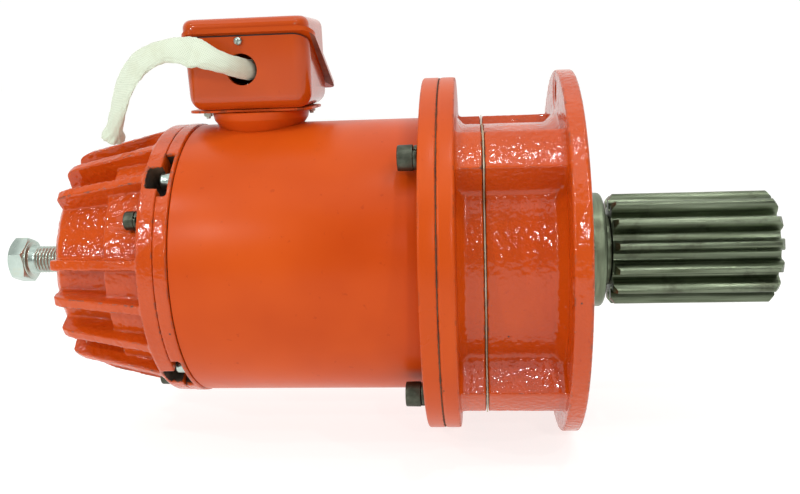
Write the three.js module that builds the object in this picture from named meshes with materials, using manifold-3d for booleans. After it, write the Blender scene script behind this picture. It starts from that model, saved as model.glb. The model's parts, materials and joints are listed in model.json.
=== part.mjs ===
// Geared DC motor: flange-mounted brushed motor with a planetary gearbox, a drive
// pinion, a finned rear brake cover and a terminal box with a woven lead sleeve.
// Millimetres. +X runs from the rear cover to the pinion, +Z is up.
// The origin is on the shaft axis, in the plane of the mounting face.

import * as THREE from 'three';
import { mergeVertices } from 'three/addons/utils/BufferGeometryUtils.js';
import Module from 'manifold-3d';

const wasm = await Module();
wasm.setup();

// ---------------------------------------------------------------- driving dimensions

const gap = 0.3; // clearance between neighbouring pieces
const fine = 40; // sides of the large turned surfaces
const coarse = 18; // sides of small and hidden turned surfaces

// Stations along the shaft axis, from the pinion back to the adjusting bolt.
const station = {
  pinionEnd: 109,
  pinionStart: 20.6,
  capFace: 16.6,
  mountingFace: 0,
  flangeBack: -9,
  housingBack: -48.9,
  coverFront: -49.9,
  coverFlangeFront: -63.5,
  flangeJoint: -72.5,
  shieldFlangeBack: -81.4,
  bodyBack: -209.6,
  ringBack: -217,
  rimBack: -226.3,
  padBack: -249,
  coverEnd: -282.7,
  boltHeadFront: -321.6,
  boltHeadBack: -331.6,
};

const body = { radius: 77.5, bore: 69 };
const mountingFlange = { radius: 101.5, holeCircle: 90, holeRadius: 5.5 };
const jointFlange = { radius: 99.5, screwCircle: 88 };
const drum = { radius: 73, cavity: 66.8, ribRadius: 94, ribHalfWidth: 11.5, fillet: 4 };
const cap = { radius: 32.4, seat: 34, round: 2.2 };
const rearRing = { radius: 78.2, windowHalfWidth: 13.9, windowFront: -212, windowTurn: -1.7 };
const rearCover = {
  rimRadius: 78,
  padRadius: 66.5,
  coreRadius: 52,
  padBore: 60,
  coreBore: 45,
  windowBack: -224.2,
  windowHalfWidth: 6.9,
  seatRadius: 7,
};
const fin = { count: 20, phase: 8.4, thickness: 4.6, tipFront: 76.4, tipBack: 63.5, end: -279.5, round: 4.5 };

const ribAngles = [45, 135, 225, 315]; // about the shaft, from +Y towards +Z
const holeAngles = [0, 90, 180, 270];
const coverScrewAngles = [61.6, 151.6, 241.6, 331.6];
const coverScrewCircle = 70.5;
const windowAngles = [45, 135, 225, 315];

const shaft = { journal: 20, pinionSeat: 16, carrierSeat: 16 };
const armature = { journal: 10, core: 12.5, coreRadius: 52, slots: 14 };
const stage = { module: 2, sun: 18, planet: 21, ring: 60, back: -62, front: -46.6 };
const pinion = { module: 4, teeth: 14, tip: 31.6, root: 22.9, phase: 10.9, chamfer: 2.6 };

const box = {
  centreX: -174.3,
  halfWidth: 34.3,
  halfDepth: 29.3,
  wall: 2.6,
  corner: 8.5,
  bottomRound: 7.5,
  topRound: 4.5,
  floor: 86.8,
  innerFloor: 90.3,
  top: 134.8,
  draft: 0.0006, // share by which the box narrows for each millimetre downwards
  splitHeight: 111.7, // height of the slanted joint plane above the shaft axis
  splitSlope: -0.5, // rise of that plane towards +Y
  lean: 0.15, // how far the lid's back wall leans in for each millimetre upwards
  lip: { left: 0.6, right: 3.4, front: 1.5, back: 3.4, corner: 3, frontCorner: 8, thickness: 2.1 },
  hole: { x: -176.4, z: 108, radius: 8.3 },
  screw: { x: -176.9, z: 122.8, head: 2.2, shank: 1.1 },
  plate: { x: -176.5, halfWidth: 34.4, halfDepth: 22, corner: 10, bottom: 85.2, thickness: 1.4 },
};

const adjustingBolt = { shank: 7.9, acrossFlats: 24, phase: 35, seatBack: -259.6 };

// Route of the woven lead sleeve, from inside the terminal box to its cut end.
const sleeve = {
  radius: 5.6,
  route: [
    [-171.4, -13.0, 107.2],
    [-172.8, -20.6, 107.6],
    [-175.4, -28.0, 108.3],
    [-178.8, -34.4, 109.8],
    [-183.6, -39.0, 111.9],
    [-189.6, -41.8, 114.5],
    [-196.4, -43.0, 117.3],
    [-204.0, -43.2, 118.9],
    [-212.0, -42.6, 118.8],
    [-220.0, -41.6, 116.6],
    [-227.8, -40.0, 112.6],
    [-234.2, -38.0, 107.0],
    [-239.2, -35.6, 100.4],
    [-243.2, -32.6, 93.4],
    [-246.8, -29.4, 86.6],
    [-250.2, -26.2, 79.8],
    [-253.2, -23.2, 73.6],
  ],
};

// ---------------------------------------------------------------- materials

function finish(colour, roughness, metalness) {
  return new THREE.MeshStandardMaterial({ color: colour, roughness, metalness });
}

const enamel = finish(0xd2501a, 0.28, 0);
const darkSteel = finish(0x4c4f44, 0.45, 0.8);
const zincSteel = finish(0xbcc4b6, 0.35, 0.9);
const blackSteel = finish(0x3c4238, 0.5, 0.6);
const brightSteel = finish(0xa8aba8, 0.3, 1);
const gasketPaper = finish(0xc9bd9c, 0.9, 0);
const rubber = finish(0x24211f, 0.8, 0);
const ferrite = finish(0x3a3a3d, 0.6, 0.1);
const laminations = finish(0x8d8f90, 0.5, 0.9);
const copper = finish(0xb56a38, 0.35, 0.9);
const carbon = finish(0x2a2a2c, 0.7, 0.1);
const brass = finish(0xc29b4e, 0.35, 0.9);
const phenolic = finish(0x5a2f20, 0.6, 0);
const friction = finish(0x4b4640, 0.9, 0);
const weave = finish(0xdfe3d2, 0.9, 0);

// ---------------------------------------------------------------- shape helpers

const radians = THREE.MathUtils.degToRad;
const alongX = new THREE.Matrix4().makeBasis(
  new THREE.Vector3(0, 1, 0),
  new THREE.Vector3(0, 0, 1),
  new THREE.Vector3(1, 0, 0),
);

// A closed geometry with merged vertices and outward faces, as a manifold solid.
function solid(geometry) {
  const bare = geometry.clone();
  bare.deleteAttribute('normal');
  bare.deleteAttribute('uv');
  const welded = mergeVertices(bare, 1e-4);
  const position = welded.attributes.position;
  const corner = [new THREE.Vector3(), new THREE.Vector3(), new THREE.Vector3()];
  const triangles = [];
  let volume = 0;
  for (let i = 0; i < welded.index.count; i += 3) {
    const triangle = [0, 1, 2].map((k) => welded.index.getX(i + k));
    if (new Set(triangle).size < 3) continue;
    triangle.forEach((vertex, k) => corner[k].fromBufferAttribute(position, vertex));
    volume += corner[0].dot(corner[1].clone().cross(corner[2]));
    triangles.push(triangle);
  }
  const order = volume < 0 ? [0, 2, 1] : [0, 1, 2];
  const mesh = new wasm.Mesh({
    numProp: 3,
    vertProperties: Float32Array.from(position.array),
    triVerts: Uint32Array.from(triangles.flatMap((t) => order.map((k) => t[k]))),
  });
  return new wasm.Manifold(mesh);
}

function join(first, ...others) {
  return others.reduce((sum, other) => sum.add(other), first);
}

function cut(first, ...others) {
  return others.reduce((rest, other) => rest.subtract(other), first);
}

// A profile of [x, radius] points turned about the shaft axis.
function turnedGeometry(profile, sides = coarse) {
  const points = profile.map(([x, radius]) => new THREE.Vector2(radius, x));
  if (profile[0][1] > 0) points.push(points[0].clone());
  return new THREE.LatheGeometry(points, sides).rotateZ(-Math.PI / 2);
}

function turned(profile, sides) {
  return solid(turnedGeometry(profile, sides));
}

function ringProfile(back, front, outer, inner, chamfer = 0) {
  const edge = chamfer
    ? [[back, outer - chamfer], [back + chamfer, outer], [front - chamfer, outer], [front, outer - chamfer]]
    : [[back, outer], [front, outer]];
  return [[back, inner], ...edge, [front, inner]];
}

function ring(back, front, outer, inner, sides = coarse, chamfer = 0) {
  return turned(ringProfile(back, front, outer, inner, chamfer), sides);
}

// Radius of a faceted hole whose flats clear a round piece by the gap.
function clear(radius, sides = coarse) {
  return (radius + gap) / Math.cos(Math.PI / sides);
}

function rod(back, front, radius, sides = coarse, chamfer = 0) {
  return ring(back, front, radius, 0, sides, chamfer);
}

// An outline in the plane across the shaft, extruded along it.
function extrudedGeometry(shape, back, front, curveSegments = 12) {
  const geometry = new THREE.ExtrudeGeometry(shape, {
    depth: front - back,
    bevelEnabled: false,
    curveSegments,
  });
  return geometry.applyMatrix4(alongX).translate(back, 0, 0);
}

function extruded(shape, back, front, curveSegments) {
  return solid(extrudedGeometry(shape, back, front, curveSegments));
}

// A rod parallel to the shaft, at a radius and an angle about it.
function offsetRod(back, front, radius, circle, angle, sides = 12) {
  const geometry = turnedGeometry(ringProfile(back, front, radius, 0), sides);
  return solid(geometry.translate(0, circle, 0).rotateX(radians(angle)));
}

// A block across a radius: low and high along the radius, half its width across it.
function radialBlock(back, front, low, high, halfWidth, angle) {
  const geometry = new THREE.BoxGeometry(front - back, high - low, 2 * halfWidth);
  geometry.translate((back + front) / 2, (low + high) / 2, 0).rotateX(radians(angle));
  return solid(geometry);
}

function upright(radius, low, high, x, y, sides = 16) {
  const geometry = new THREE.CylinderGeometry(radius, radius, high - low, sides);
  return solid(geometry.rotateX(Math.PI / 2).translate(x, y, (low + high) / 2));
}

const assembly = new THREE.Group();

function addGeometry(name, geometry, material, angle = 0) {
  const mesh = new THREE.Mesh(geometry, material);
  mesh.name = name;
  mesh.rotation.x = radians(angle);
  assembly.add(mesh);
}

// Adds a solid as a named mesh, turned about the shaft by an angle.
function add(name, shape, material, angle = 0) {
  const { vertProperties, triVerts } = shape.getMesh();
  const geometry = new THREE.BufferGeometry();
  geometry.setAttribute('position', new THREE.BufferAttribute(vertProperties, 3));
  geometry.setIndex(new THREE.BufferAttribute(triVerts, 1));
  geometry.computeVertexNormals();
  addGeometry(name, geometry, material, angle);
}

// ---------------------------------------------------------------- gear outlines

const involute = (angle) => Math.tan(angle) - angle;

// Half the angle of a tooth at a radius, for a 20 degree pressure angle.
function halfToothAngle(radius, module, teeth, thinning) {
  const pitch = (module * teeth) / 2;
  const base = pitch * Math.cos(radians(20));
  const pressure = Math.acos(Math.min(1, base / Math.max(radius, base)));
  return Math.PI / (2 * teeth) - thinning / pitch + involute(radians(20)) - involute(pressure);
}

// Points of a toothed outline, from the root of each tooth up one flank and down the other.
function toothedPoints({ module, teeth, root, tip, phase, thinning, steps }) {
  const points = [];
  for (let tooth = 0; tooth < teeth; tooth += 1) {
    const centre = radians(phase) + (tooth * 2 * Math.PI) / teeth;
    const flank = [];
    for (let i = 0; i <= steps; i += 1) {
      const radius = root + ((tip - root) * i) / steps;
      const half = halfToothAngle(radius, module, teeth, thinning);
      flank.push([radius, Math.min(half, (0.94 * Math.PI) / teeth)]);
    }
    const up = flank.map(([radius, half]) => [radius, centre - half]);
    const down = flank.map(([radius, half]) => [radius, centre + half]).reverse();
    for (const [radius, angle] of [...up, ...down]) {
      points.push(new THREE.Vector2(radius * Math.cos(angle), radius * Math.sin(angle)));
    }
  }
  return points;
}

function circlePath(radius, sides) {
  const points = [];
  for (let i = 0; i < sides; i += 1) {
    const angle = (i * 2 * Math.PI) / sides;
    points.push(new THREE.Vector2(radius * Math.cos(angle), radius * Math.sin(angle)));
  }
  return new THREE.Path(points);
}

function gearShape(teeth, phase, bore, steps = 1) {
  const pitch = (stage.module * teeth) / 2;
  const outline = toothedPoints({
    module: stage.module,
    teeth,
    root: pitch - 2.5,
    tip: pitch + 1.85,
    phase,
    thinning: 0.14,
    steps,
  });
  const shape = new THREE.Shape(outline);
  shape.holes.push(circlePath(bore, 24));
  return shape;
}

// ---------------------------------------------------------------- gearbox

// The drum with its four ribs, as seen along the shaft.
function ribbedShape(offset = 0) {
  const shape = new THREE.Shape();
  const inner = drum.radius + offset;
  const outer = drum.ribRadius + offset;
  const half = drum.ribHalfWidth + offset;
  const rootAngle = Math.asin((half + drum.fillet) / inner);
  const tipAngle = Math.asin(half / outer);
  const rootHeight = Math.sqrt(inner ** 2 - half ** 2);
  ribAngles.forEach((degrees, index) => {
    const centre = radians(degrees);
    const next = radians(degrees + 90);
    const place = (along, across) => [
      along * Math.cos(centre) - across * Math.sin(centre),
      along * Math.sin(centre) + across * Math.cos(centre),
    ];
    const start = [inner * Math.cos(centre - rootAngle), inner * Math.sin(centre - rootAngle)];
    const end = [inner * Math.cos(centre + rootAngle), inner * Math.sin(centre + rootAngle)];
    if (index === 0) shape.moveTo(...start);
    shape.quadraticCurveTo(...place(rootHeight, -half), ...place(rootHeight + drum.fillet, -half));
    shape.lineTo(outer * Math.cos(centre - tipAngle), outer * Math.sin(centre - tipAngle));
    shape.absarc(0, 0, outer, centre - tipAngle, centre + tipAngle, false);
    shape.lineTo(...place(rootHeight + drum.fillet, half));
    shape.quadraticCurveTo(...place(rootHeight, half), ...end);
    shape.absarc(0, 0, inner, centre + rootAngle, next - rootAngle, false);
  });
  return shape;
}

function gearboxHousing() {
  const ribs = extruded(ribbedShape(), station.housingBack, station.flangeBack + 1, 4);
  const flange = ring(station.flangeBack, station.mountingFace, mountingFlange.radius, 0, fine, 0.8);
  const bearingBore = rod(-34.7, 1, clear(cap.seat));
  const shoulder = rod(-37, -34, 29);
  const cavity = rod(station.housingBack - 1, -36.4, clear(drum.cavity, 28), 28);
  const holes = holeAngles.map((angle) =>
    offsetRod(-10, 1, mountingFlange.holeRadius, mountingFlange.holeCircle, angle));
  return cut(join(ribs, flange), bearingBore, shoulder, cavity, ...holes);
}

function gearboxCover() {
  const ribs = extruded(ribbedShape(), station.coverFlangeFront - 1, station.coverFront, 4);
  const back = station.flangeJoint + gap / 2;
  const flange = ring(back, station.coverFlangeFront, jointFlange.radius, 0, fine, 0.6);
  const cavity = rod(-66.5, station.coverFront + 1, clear(drum.cavity, 28), 28);
  const shaftBore = rod(-74, -60, 19);
  const screwHoles = ribAngles.map((angle) =>
    offsetRod(-74, -62, 4.4, jointFlange.screwCircle, angle, 12));
  return cut(join(ribs, flange), cavity, shaftBore, ...screwHoles);
}

function gearboxGasket() {
  const back = station.coverFront + 0.1;
  const front = station.housingBack - 0.1;
  const sheet = extruded(ribbedShape(-0.3), back, front, 4);
  return cut(sheet, rod(back - 1, front + 1, clear(drum.cavity, 28), 28));
}

function outputBearingCap() {
  const { radius, seat, round } = cap;
  const face = station.capFace;
  const corner = [30, 60].map((degrees) => [
    face - round + round * Math.sin(radians(degrees)),
    radius - round + round * Math.cos(radians(degrees)),
  ]);
  return turned([
    [-4.7, 21],
    [-4.7, seat],
    [-gap, seat],
    [-gap, radius],
    [face - round, radius],
    ...corner,
    [face, radius - round],
    [face, 27.8],
    [8.4, 27.8],
    [8.4, 21],
  ], 28);
}

// A sealed ball bearing, its races and seals as one ring.
function bearing(back, front, outer, bore) {
  return ring(back, front, outer, clear(bore), coarse, 0.8);
}

function outputShaft() {
  const turnedBar = turned([
    [-45.8, 0],
    [-45.8, shaft.carrierSeat],
    [-35.4, shaft.carrierSeat],
    [-35.4, shaft.journal],
    [station.pinionStart - gap, shaft.journal],
    [station.pinionStart - gap, shaft.pinionSeat],
    [104.4, shaft.pinionSeat],
    [104.4, shaft.pinionSeat - 1.2],
    [106.2, shaft.pinionSeat - 1.2],
    [106.2, shaft.pinionSeat],
    [107.2, shaft.pinionSeat],
    [108, shaft.pinionSeat - 0.8],
    [108, 0],
  ], coarse);
  const keyway = radialBlock(29, 91, 12.2, 20, 5.2, 90);
  return cut(turnedBar, keyway);
}

function drivePinion() {
  const { module, teeth, tip, root, phase, chamfer } = pinion;
  const start = station.pinionStart;
  const end = station.pinionEnd;
  const outline = toothedPoints({ module, teeth, root, tip, phase, thinning: 0.2, steps: 3 });
  const teethSolid = extruded(new THREE.Shape(outline), start, end);
  const envelope = turned([
    [start, 0],
    [start, tip - chamfer],
    [start + chamfer, tip + 0.4],
    [end - chamfer, tip + 0.4],
    [end, tip - chamfer],
    [end, 0],
  ], 56);
  const bore = rod(start - 1, end + 1, clear(shaft.pinionSeat));
  const recess = rod(104, end + 1, 19.2);
  const keyway = radialBlock(start - 1, end + 1, 10, 19.4, 5.2, 90);
  return cut(teethSolid.intersect(envelope), bore, recess, keyway);
}

function pinionCirclip() {
  const hoop = ring(104.7, 105.9, 18.4, shaft.pinionSeat - 1);
  return cut(hoop, radialBlock(104, 107, 10, 20, 3, -90));
}

function planetCarrier() {
  const plate = ring(-44.4, -36.8, 54, clear(shaft.carrierSeat, 24), 24);
  const pins = planetAngles.flatMap((angle) => [
    offsetRod(stage.back - 1.2, -40, 5, planetCircle, angle, 12),
  ]);
  return join(plate, ...pins);
}

const planetCircle = (stage.module * (stage.sun + stage.planet)) / 2;
const planetAngles = [90, 210, 330];

// Phase of a planet whose tooth gap meets the sun's tooth on the line of centres.
function planetPhase(angle) {
  const sunOffset = (angle * stage.sun) / 360;
  return angle + 180 + (360 / stage.planet) * (sunOffset - 0.5);
}

function ringGear() {
  const pitch = (stage.module * stage.ring) / 2;
  const first = planetAngles[0];
  const space = first + ((planetPhase(first) - first) * stage.planet) / stage.ring;
  const inner = toothedPoints({
    module: stage.module,
    teeth: stage.ring,
    root: pitch - 1.75,
    tip: pitch + 2.4,
    phase: space,
    thinning: -0.14,
    steps: 1,
  });
  const shape = new THREE.Shape(circlePath(drum.cavity, 60).getPoints());
  shape.holes.push(new THREE.Path(inner));
  return extruded(shape, -65.6, -45);
}

function planetGear(angle) {
  const shape = gearShape(stage.planet, planetPhase(angle), clear(5, 24));
  const geometry = extrudedGeometry(shape, stage.back, stage.front);
  return solid(geometry.translate(0, planetCircle * Math.cos(radians(angle)),
    planetCircle * Math.sin(radians(angle))));
}

function addGearbox() {
  add('gearbox_housing', gearboxHousing(), enamel);
  add('gearbox_gasket', gearboxGasket(), gasketPaper);
  add('gearbox_cover', gearboxCover(), enamel);
  add('ring_gear', ringGear(), brightSteel);
  add('planet_carrier', planetCarrier(), brightSteel);
  planetAngles.forEach((angle, i) => {
    add(`planet_gear_${i + 1}`, planetGear(angle), brightSteel);
  });
  add('output_bearing_inner', bearing(-34.4, -19.8, cap.seat, shaft.journal), brightSteel);
  add('output_bearing_outer', bearing(-19.5, -5, cap.seat, shaft.journal), brightSteel);
  add('output_bearing_cap', outputBearingCap(), darkSteel);
  add('output_oil_seal', ring(8.8, 15.8, 27.5, clear(shaft.journal), coarse, 0.8), rubber);
  add('output_shaft', outputShaft(), darkSteel);
  add('pinion_key', radialBlock(30, 90, 12.5, 19, 5, 90), blackSteel);
  add('drive_pinion', drivePinion(), darkSteel);
  add('pinion_circlip', pinionCirclip(), blackSteel);
}

// ---------------------------------------------------------------- motor

function frontEndShield() {
  const back = station.shieldFlangeBack;
  const front = station.flangeJoint - gap / 2;
  const flange = ring(back, front, jointFlange.radius, 0, fine, 0.6);
  const spigot = rod(back - 4.4, back + 1, body.bore - gap, fine);
  const boss = rod(-95, back + 1, 29.5);
  const bearingSeat = rod(-93, -71, clear(23.5));
  const shaftBore = rod(-96, -92, 15);
  const screwHoles = ribAngles.map((angle) =>
    offsetRod(-83, -71, 4.4, jointFlange.screwCircle, angle, 12));
  return cut(join(flange, spigot, boss), bearingSeat, shaftBore, ...screwHoles);
}

function motorBody() {
  const back = station.bodyBack + gap / 2;
  const front = station.shieldFlangeBack - gap / 2;
  const tube = ring(back, front, body.radius, body.bore, fine);
  return cut(tube, upright(7, 60, 90, box.centreX, 0));
}

function rearEndShield() {
  const back = station.ringBack + gap / 2;
  const front = station.bodyBack - gap / 2;
  const wall = ring(back, front, rearRing.radius, 0, fine, 0.4);
  const spigot = rod(front - 1, -205, body.bore - gap, fine);
  const boss = rod(front - 1, -202.8, 29.5);
  const bearingSeat = rod(-218, -204.4, clear(23.5));
  const shaftBore = rod(-206, -202, 15);
  const { windowFront, windowHalfWidth, windowTurn } = rearRing;
  const windows = windowAngles.map((angle) =>
    radialBlock(-218, windowFront, 66, 80, windowHalfWidth, angle + windowTurn));
  const threads = coverScrewAngles.map((angle) =>
    offsetRod(-218, -213.4, clear(2.9, 12), coverScrewCircle, angle));
  return cut(join(wall, spigot, boss), bearingSeat, shaftBore, ...windows, ...threads);
}

// Outline of one fin: length along the shaft, height from it.
function finGeometry() {
  const { tipFront, tipBack, end, round, thickness } = fin;
  const slope = (tipFront - tipBack) / (station.rimBack - end);
  const shoulder = end + round;
  const shape = new THREE.Shape();
  shape.moveTo(station.rimBack + 1, 40);
  shape.lineTo(station.rimBack + 1, tipFront);
  shape.lineTo(shoulder, tipBack + slope * round);
  shape.quadraticCurveTo(end, tipBack, end, tipBack - round);
  shape.lineTo(end, 40);
  const geometry = new THREE.ExtrudeGeometry(shape, {
    depth: thickness,
    bevelEnabled: false,
    curveSegments: 4,
  });
  return geometry.translate(0, 0, -thickness / 2);
}

// The cast cap: a rim, a stepped drum, the fins, four screw seats and four windows.
function rearCoverSolid() {
  const { rimRadius, padRadius, coreRadius, padBore, coreBore, seatRadius } = rearCover;
  const { windowBack, windowHalfWidth } = rearCover;
  const { ringBack, rimBack, padBack, coverEnd } = station;
  const front = ringBack - gap / 2;
  const shell = turned([
    [front, 0],
    [front, rimRadius],
    [rimBack, rimRadius],
    [rimBack, padRadius],
    [padBack, padRadius - 2.5],
    [padBack - 1.5, coreRadius + 3.5],
    [coverEnd + 4, coreRadius],
    [coverEnd, coreRadius - 4],
    [coverEnd, 0],
  ], fine);
  const cavity = turned([
    [front + 1, 0],
    [front + 1, padBore],
    [padBack + 6, padBore],
    [padBack + 6, coreBore],
    [coverEnd + 8, coreBore],
    [coverEnd + 8, 0],
  ], fine);
  const boss = rod(coverEnd + 7, coverEnd + 15, 16);
  const step = 360 / fin.count;
  const fins = [];
  for (let i = 0; i < fin.count; i += 1) {
    const angle = fin.phase + i * step;
    const atScrew = coverScrewAngles.some((screw) => Math.abs(screw - angle) < step / 2);
    if (!atScrew) fins.push(solid(finGeometry().rotateX(radians(angle))));
  }
  const windows = windowAngles.map((angle) =>
    radialBlock(windowBack, front + 1, 61, 80, windowHalfWidth, angle));
  const seats = coverScrewAngles.map((angle) =>
    offsetRod(padBack - 1, rimBack, seatRadius, coverScrewCircle, angle));
  const holes = coverScrewAngles.map((angle) =>
    offsetRod(rimBack - 4, front + 1, clear(2.9, 12), coverScrewCircle, angle));
  const thread = rod(coverEnd - 1, coverEnd + 16, clear(adjustingBolt.shank));
  return cut(join(cut(join(shell, ...fins), cavity), boss), thread, ...windows, ...seats, ...holes);
}

// A socket head cap screw along the shaft, head towards -X.
function capScrew(headBack, headFront, tip, headRadius, shankRadius, circle) {
  const socketDepth = (headFront - headBack) * 0.55;
  const profile = [
    [headBack + socketDepth, 0],
    [headBack + socketDepth, headRadius * 0.52],
    [headBack, headRadius * 0.52],
    [headBack, headRadius - 0.5],
    [headBack + 0.5, headRadius],
    [headFront, headRadius],
    [headFront, shankRadius],
    [tip, shankRadius],
    [tip, 0],
  ];
  return solid(turnedGeometry(profile, 10).translate(0, circle, 0));
}

function armatureShaft() {
  return turned([
    [-226.7, 0],
    [-226.7, armature.journal],
    [-202, armature.journal],
    [-202, armature.core],
    [-99, armature.core],
    [-99, armature.journal],
    [-64.5, armature.journal],
    [-64.5, 8.5],
    [-46.9, 8.5],
    [-46.9, 0],
  ], coarse);
}

// The slotted lamination stack.
function armatureCore() {
  const { coreRadius, slots } = armature;
  const stack = ring(-172, -112, coreRadius, clear(armature.core, 28), 28);
  const cuts = [];
  for (let i = 0; i < slots; i += 1) {
    cuts.push(radialBlock(-173, -111, 34, coreRadius + 2, 3.2, (i * 360) / slots));
  }
  return cut(stack, ...cuts);
}

// The copper windings: a bar in each slot and an overhang ring at both ends.
function armatureWinding() {
  const { slots } = armature;
  const rear = ring(-180.5, -172.3, 48, 24, 20);
  const front = ring(-111.7, -103, 48, 24, 20);
  const bars = [];
  for (let i = 0; i < slots; i += 1) {
    bars.push(radialBlock(-174, -110, 34.4, 47, 2.8, (i * 360) / slots));
  }
  return join(rear, front, ...bars);
}

function magnetArc(angle) {
  const shape = new THREE.Shape();
  const span = radians(66);
  const centre = radians(angle);
  shape.absarc(0, 0, body.bore - gap, centre - span, centre + span, false);
  shape.absarc(0, 0, armature.coreRadius + 1.4, centre + span, centre - span, true);
  shape.closePath();
  return extruded(shape, -178, -106, 10);
}

function brushHolder(angle) {
  const block = radialBlock(-195.6, -183, 23.5, 50, 9, angle);
  return cut(block, radialBlock(-193.4, -185.2, 20, 52, 6.6, angle));
}

function addMotor() {
  add('front_end_shield', frontEndShield(), enamel);
  add('motor_body', motorBody(), enamel);
  add('rear_end_shield', rearEndShield(), enamel);
  add('rear_cover', rearCoverSolid(), enamel);
  add('armature_shaft', armatureShaft(), brightSteel);
  add('sun_gear', extruded(gearShape(stage.sun, 0, clear(8.5, 24), 2), stage.back, stage.front), brightSteel);
  add('armature_core', armatureCore(), laminations);
  add('armature_winding', armatureWinding(), copper);
  add('commutator', ring(-199, -182.4, 21.5, clear(armature.core), coarse, 0.6), copper);
  add('armature_bearing_front', bearing(-92.7, -79, 23.5, armature.journal), brightSteel);
  add('armature_bearing_rear', bearing(-216.6, -204.7, 23.5, armature.journal), brightSteel);
  add('armature_oil_seal', ring(-72.2, -66.8, 18.7, clear(armature.journal), coarse, 0.6), rubber);
  add('field_magnet_1', magnetArc(90), ferrite);
  add('field_magnet_2', magnetArc(270), ferrite);
  add('brush_ring', ring(-200.4, -195.9, 66, 42), phenolic);
  [0, 180].forEach((angle, i) => {
    add(`brush_holder_${i + 1}`, brushHolder(angle), brass);
    add(`brush_${i + 1}`, radialBlock(-193.1, -185.5, 21.9, 40, 6.3, angle), carbon);
  });
  const flangeScrew = capScrew(-91.9, -83.9, -65, 6.5, 3.9, jointFlange.screwCircle);
  const coverScrew = capScrew(-234.4, station.rimBack - gap, -213.8, 4.9, 2.9, coverScrewCircle);
  ribAngles.forEach((angle, i) => {
    add(`flange_screw_${i + 1}`, flangeScrew, blackSteel, angle);
  });
  coverScrewAngles.forEach((angle, i) => {
    add(`cover_screw_${i + 1}`, coverScrew, blackSteel, angle);
  });
}

// ---------------------------------------------------------------- brake

function brakeMagnet() {
  return turned([
    [-256, 14],
    [-256, 42],
    [-233.2, 42],
    [-233.2, 34.5],
    [-246.4, 34.5],
    [-246.4, 23.5],
    [-233.2, 23.5],
    [-233.2, 14],
  ], coarse);
}

function pressurePlate() {
  return turned([
    [-232.4, 0],
    [-232.4, 57],
    [-224.2, 57],
    [-224.2, 22],
    [-228, 22],
    [-228, 0],
  ], 20);
}

class Helix extends THREE.Curve {
  constructor(radius, start, length, turns) {
    super();
    Object.assign(this, { radius, start, length, turns });
  }

  getPoint(t, target = new THREE.Vector3()) {
    const angle = t * this.turns * 2 * Math.PI;
    const across = [this.radius * Math.cos(angle), this.radius * Math.sin(angle)];
    return target.set(this.start + this.length * t, ...across);
  }
}

// A closed tube of round section along a curve.
function tubeGeometry(curve, radius, sides, steps) {
  return new THREE.ExtrudeGeometry(new THREE.Shape(circlePath(radius, sides).getPoints()), {
    steps,
    extrudePath: curve,
  });
}

function adjustingBoltSolid() {
  const { shank, acrossFlats, phase, seatBack } = adjustingBolt;
  const corner = acrossFlats / Math.sqrt(3);
  const hexagon = new THREE.Shape();
  for (let i = 0; i < 6; i += 1) {
    const angle = radians(phase + 60 * i);
    const point = [corner * Math.cos(angle), corner * Math.sin(angle)];
    if (i === 0) hexagon.moveTo(...point);
    else hexagon.lineTo(...point);
  }
  hexagon.closePath();
  const head = extruded(hexagon, station.boltHeadBack, station.boltHeadFront);
  const crown = turned([
    [station.boltHeadBack, 0],
    [station.boltHeadBack, acrossFlats / 2 - 0.6],
    [station.boltHeadBack + 1.4, corner + 0.1],
    [station.boltHeadFront + 1, corner + 0.1],
    [station.boltHeadFront + 1, 0],
  ], coarse);
  const stem = turned([
    [station.boltHeadFront - 1, 0],
    [station.boltHeadFront - 1, shank],
    [seatBack - 2 - gap, shank],
    [seatBack - gap, shank - 2],
    [seatBack - gap, 0],
  ]);
  return join(head.intersect(crown), stem);
}

function addBrake() {
  add('brake_hub', ring(-226.7, -218, 19.4, clear(armature.journal)), brightSteel);
  add('brake_disc', ring(-223.6, -217.5, 57, 19.8), friction);
  add('brake_pressure_plate', pressurePlate(), brightSteel);
  add('brake_magnet', brakeMagnet(), darkSteel);
  add('brake_coil', ring(-246, -233.6, 34.1, 23.9), copper);
  addGeometry('brake_spring', tubeGeometry(new Helix(10.6, -253.8, 19, 5), 1.4, 5, 45), brightSteel);
  add('spring_seat', rod(adjustingBolt.seatBack, -256.2, 12.6), brightSteel);
  add('adjusting_bolt', adjustingBoltSolid(), zincSteel);
}

// ---------------------------------------------------------------- terminal box

function roundedRectangle(halfWidth, halfDepth, corner, frontCorner = corner) {
  const shape = new THREE.Shape();
  const right = halfWidth - corner;
  const back = halfDepth - corner;
  const frontRight = halfWidth - frontCorner;
  const front = frontCorner - halfDepth;
  shape.absarc(frontRight, front, frontCorner, -Math.PI / 2, 0, false);
  shape.absarc(right, back, corner, 0, Math.PI / 2, false);
  shape.absarc(-right, back, corner, Math.PI / 2, Math.PI, false);
  shape.absarc(-frontRight, front, frontCorner, Math.PI, 1.5 * Math.PI, false);
  shape.closePath();
  return shape;
}

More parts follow.
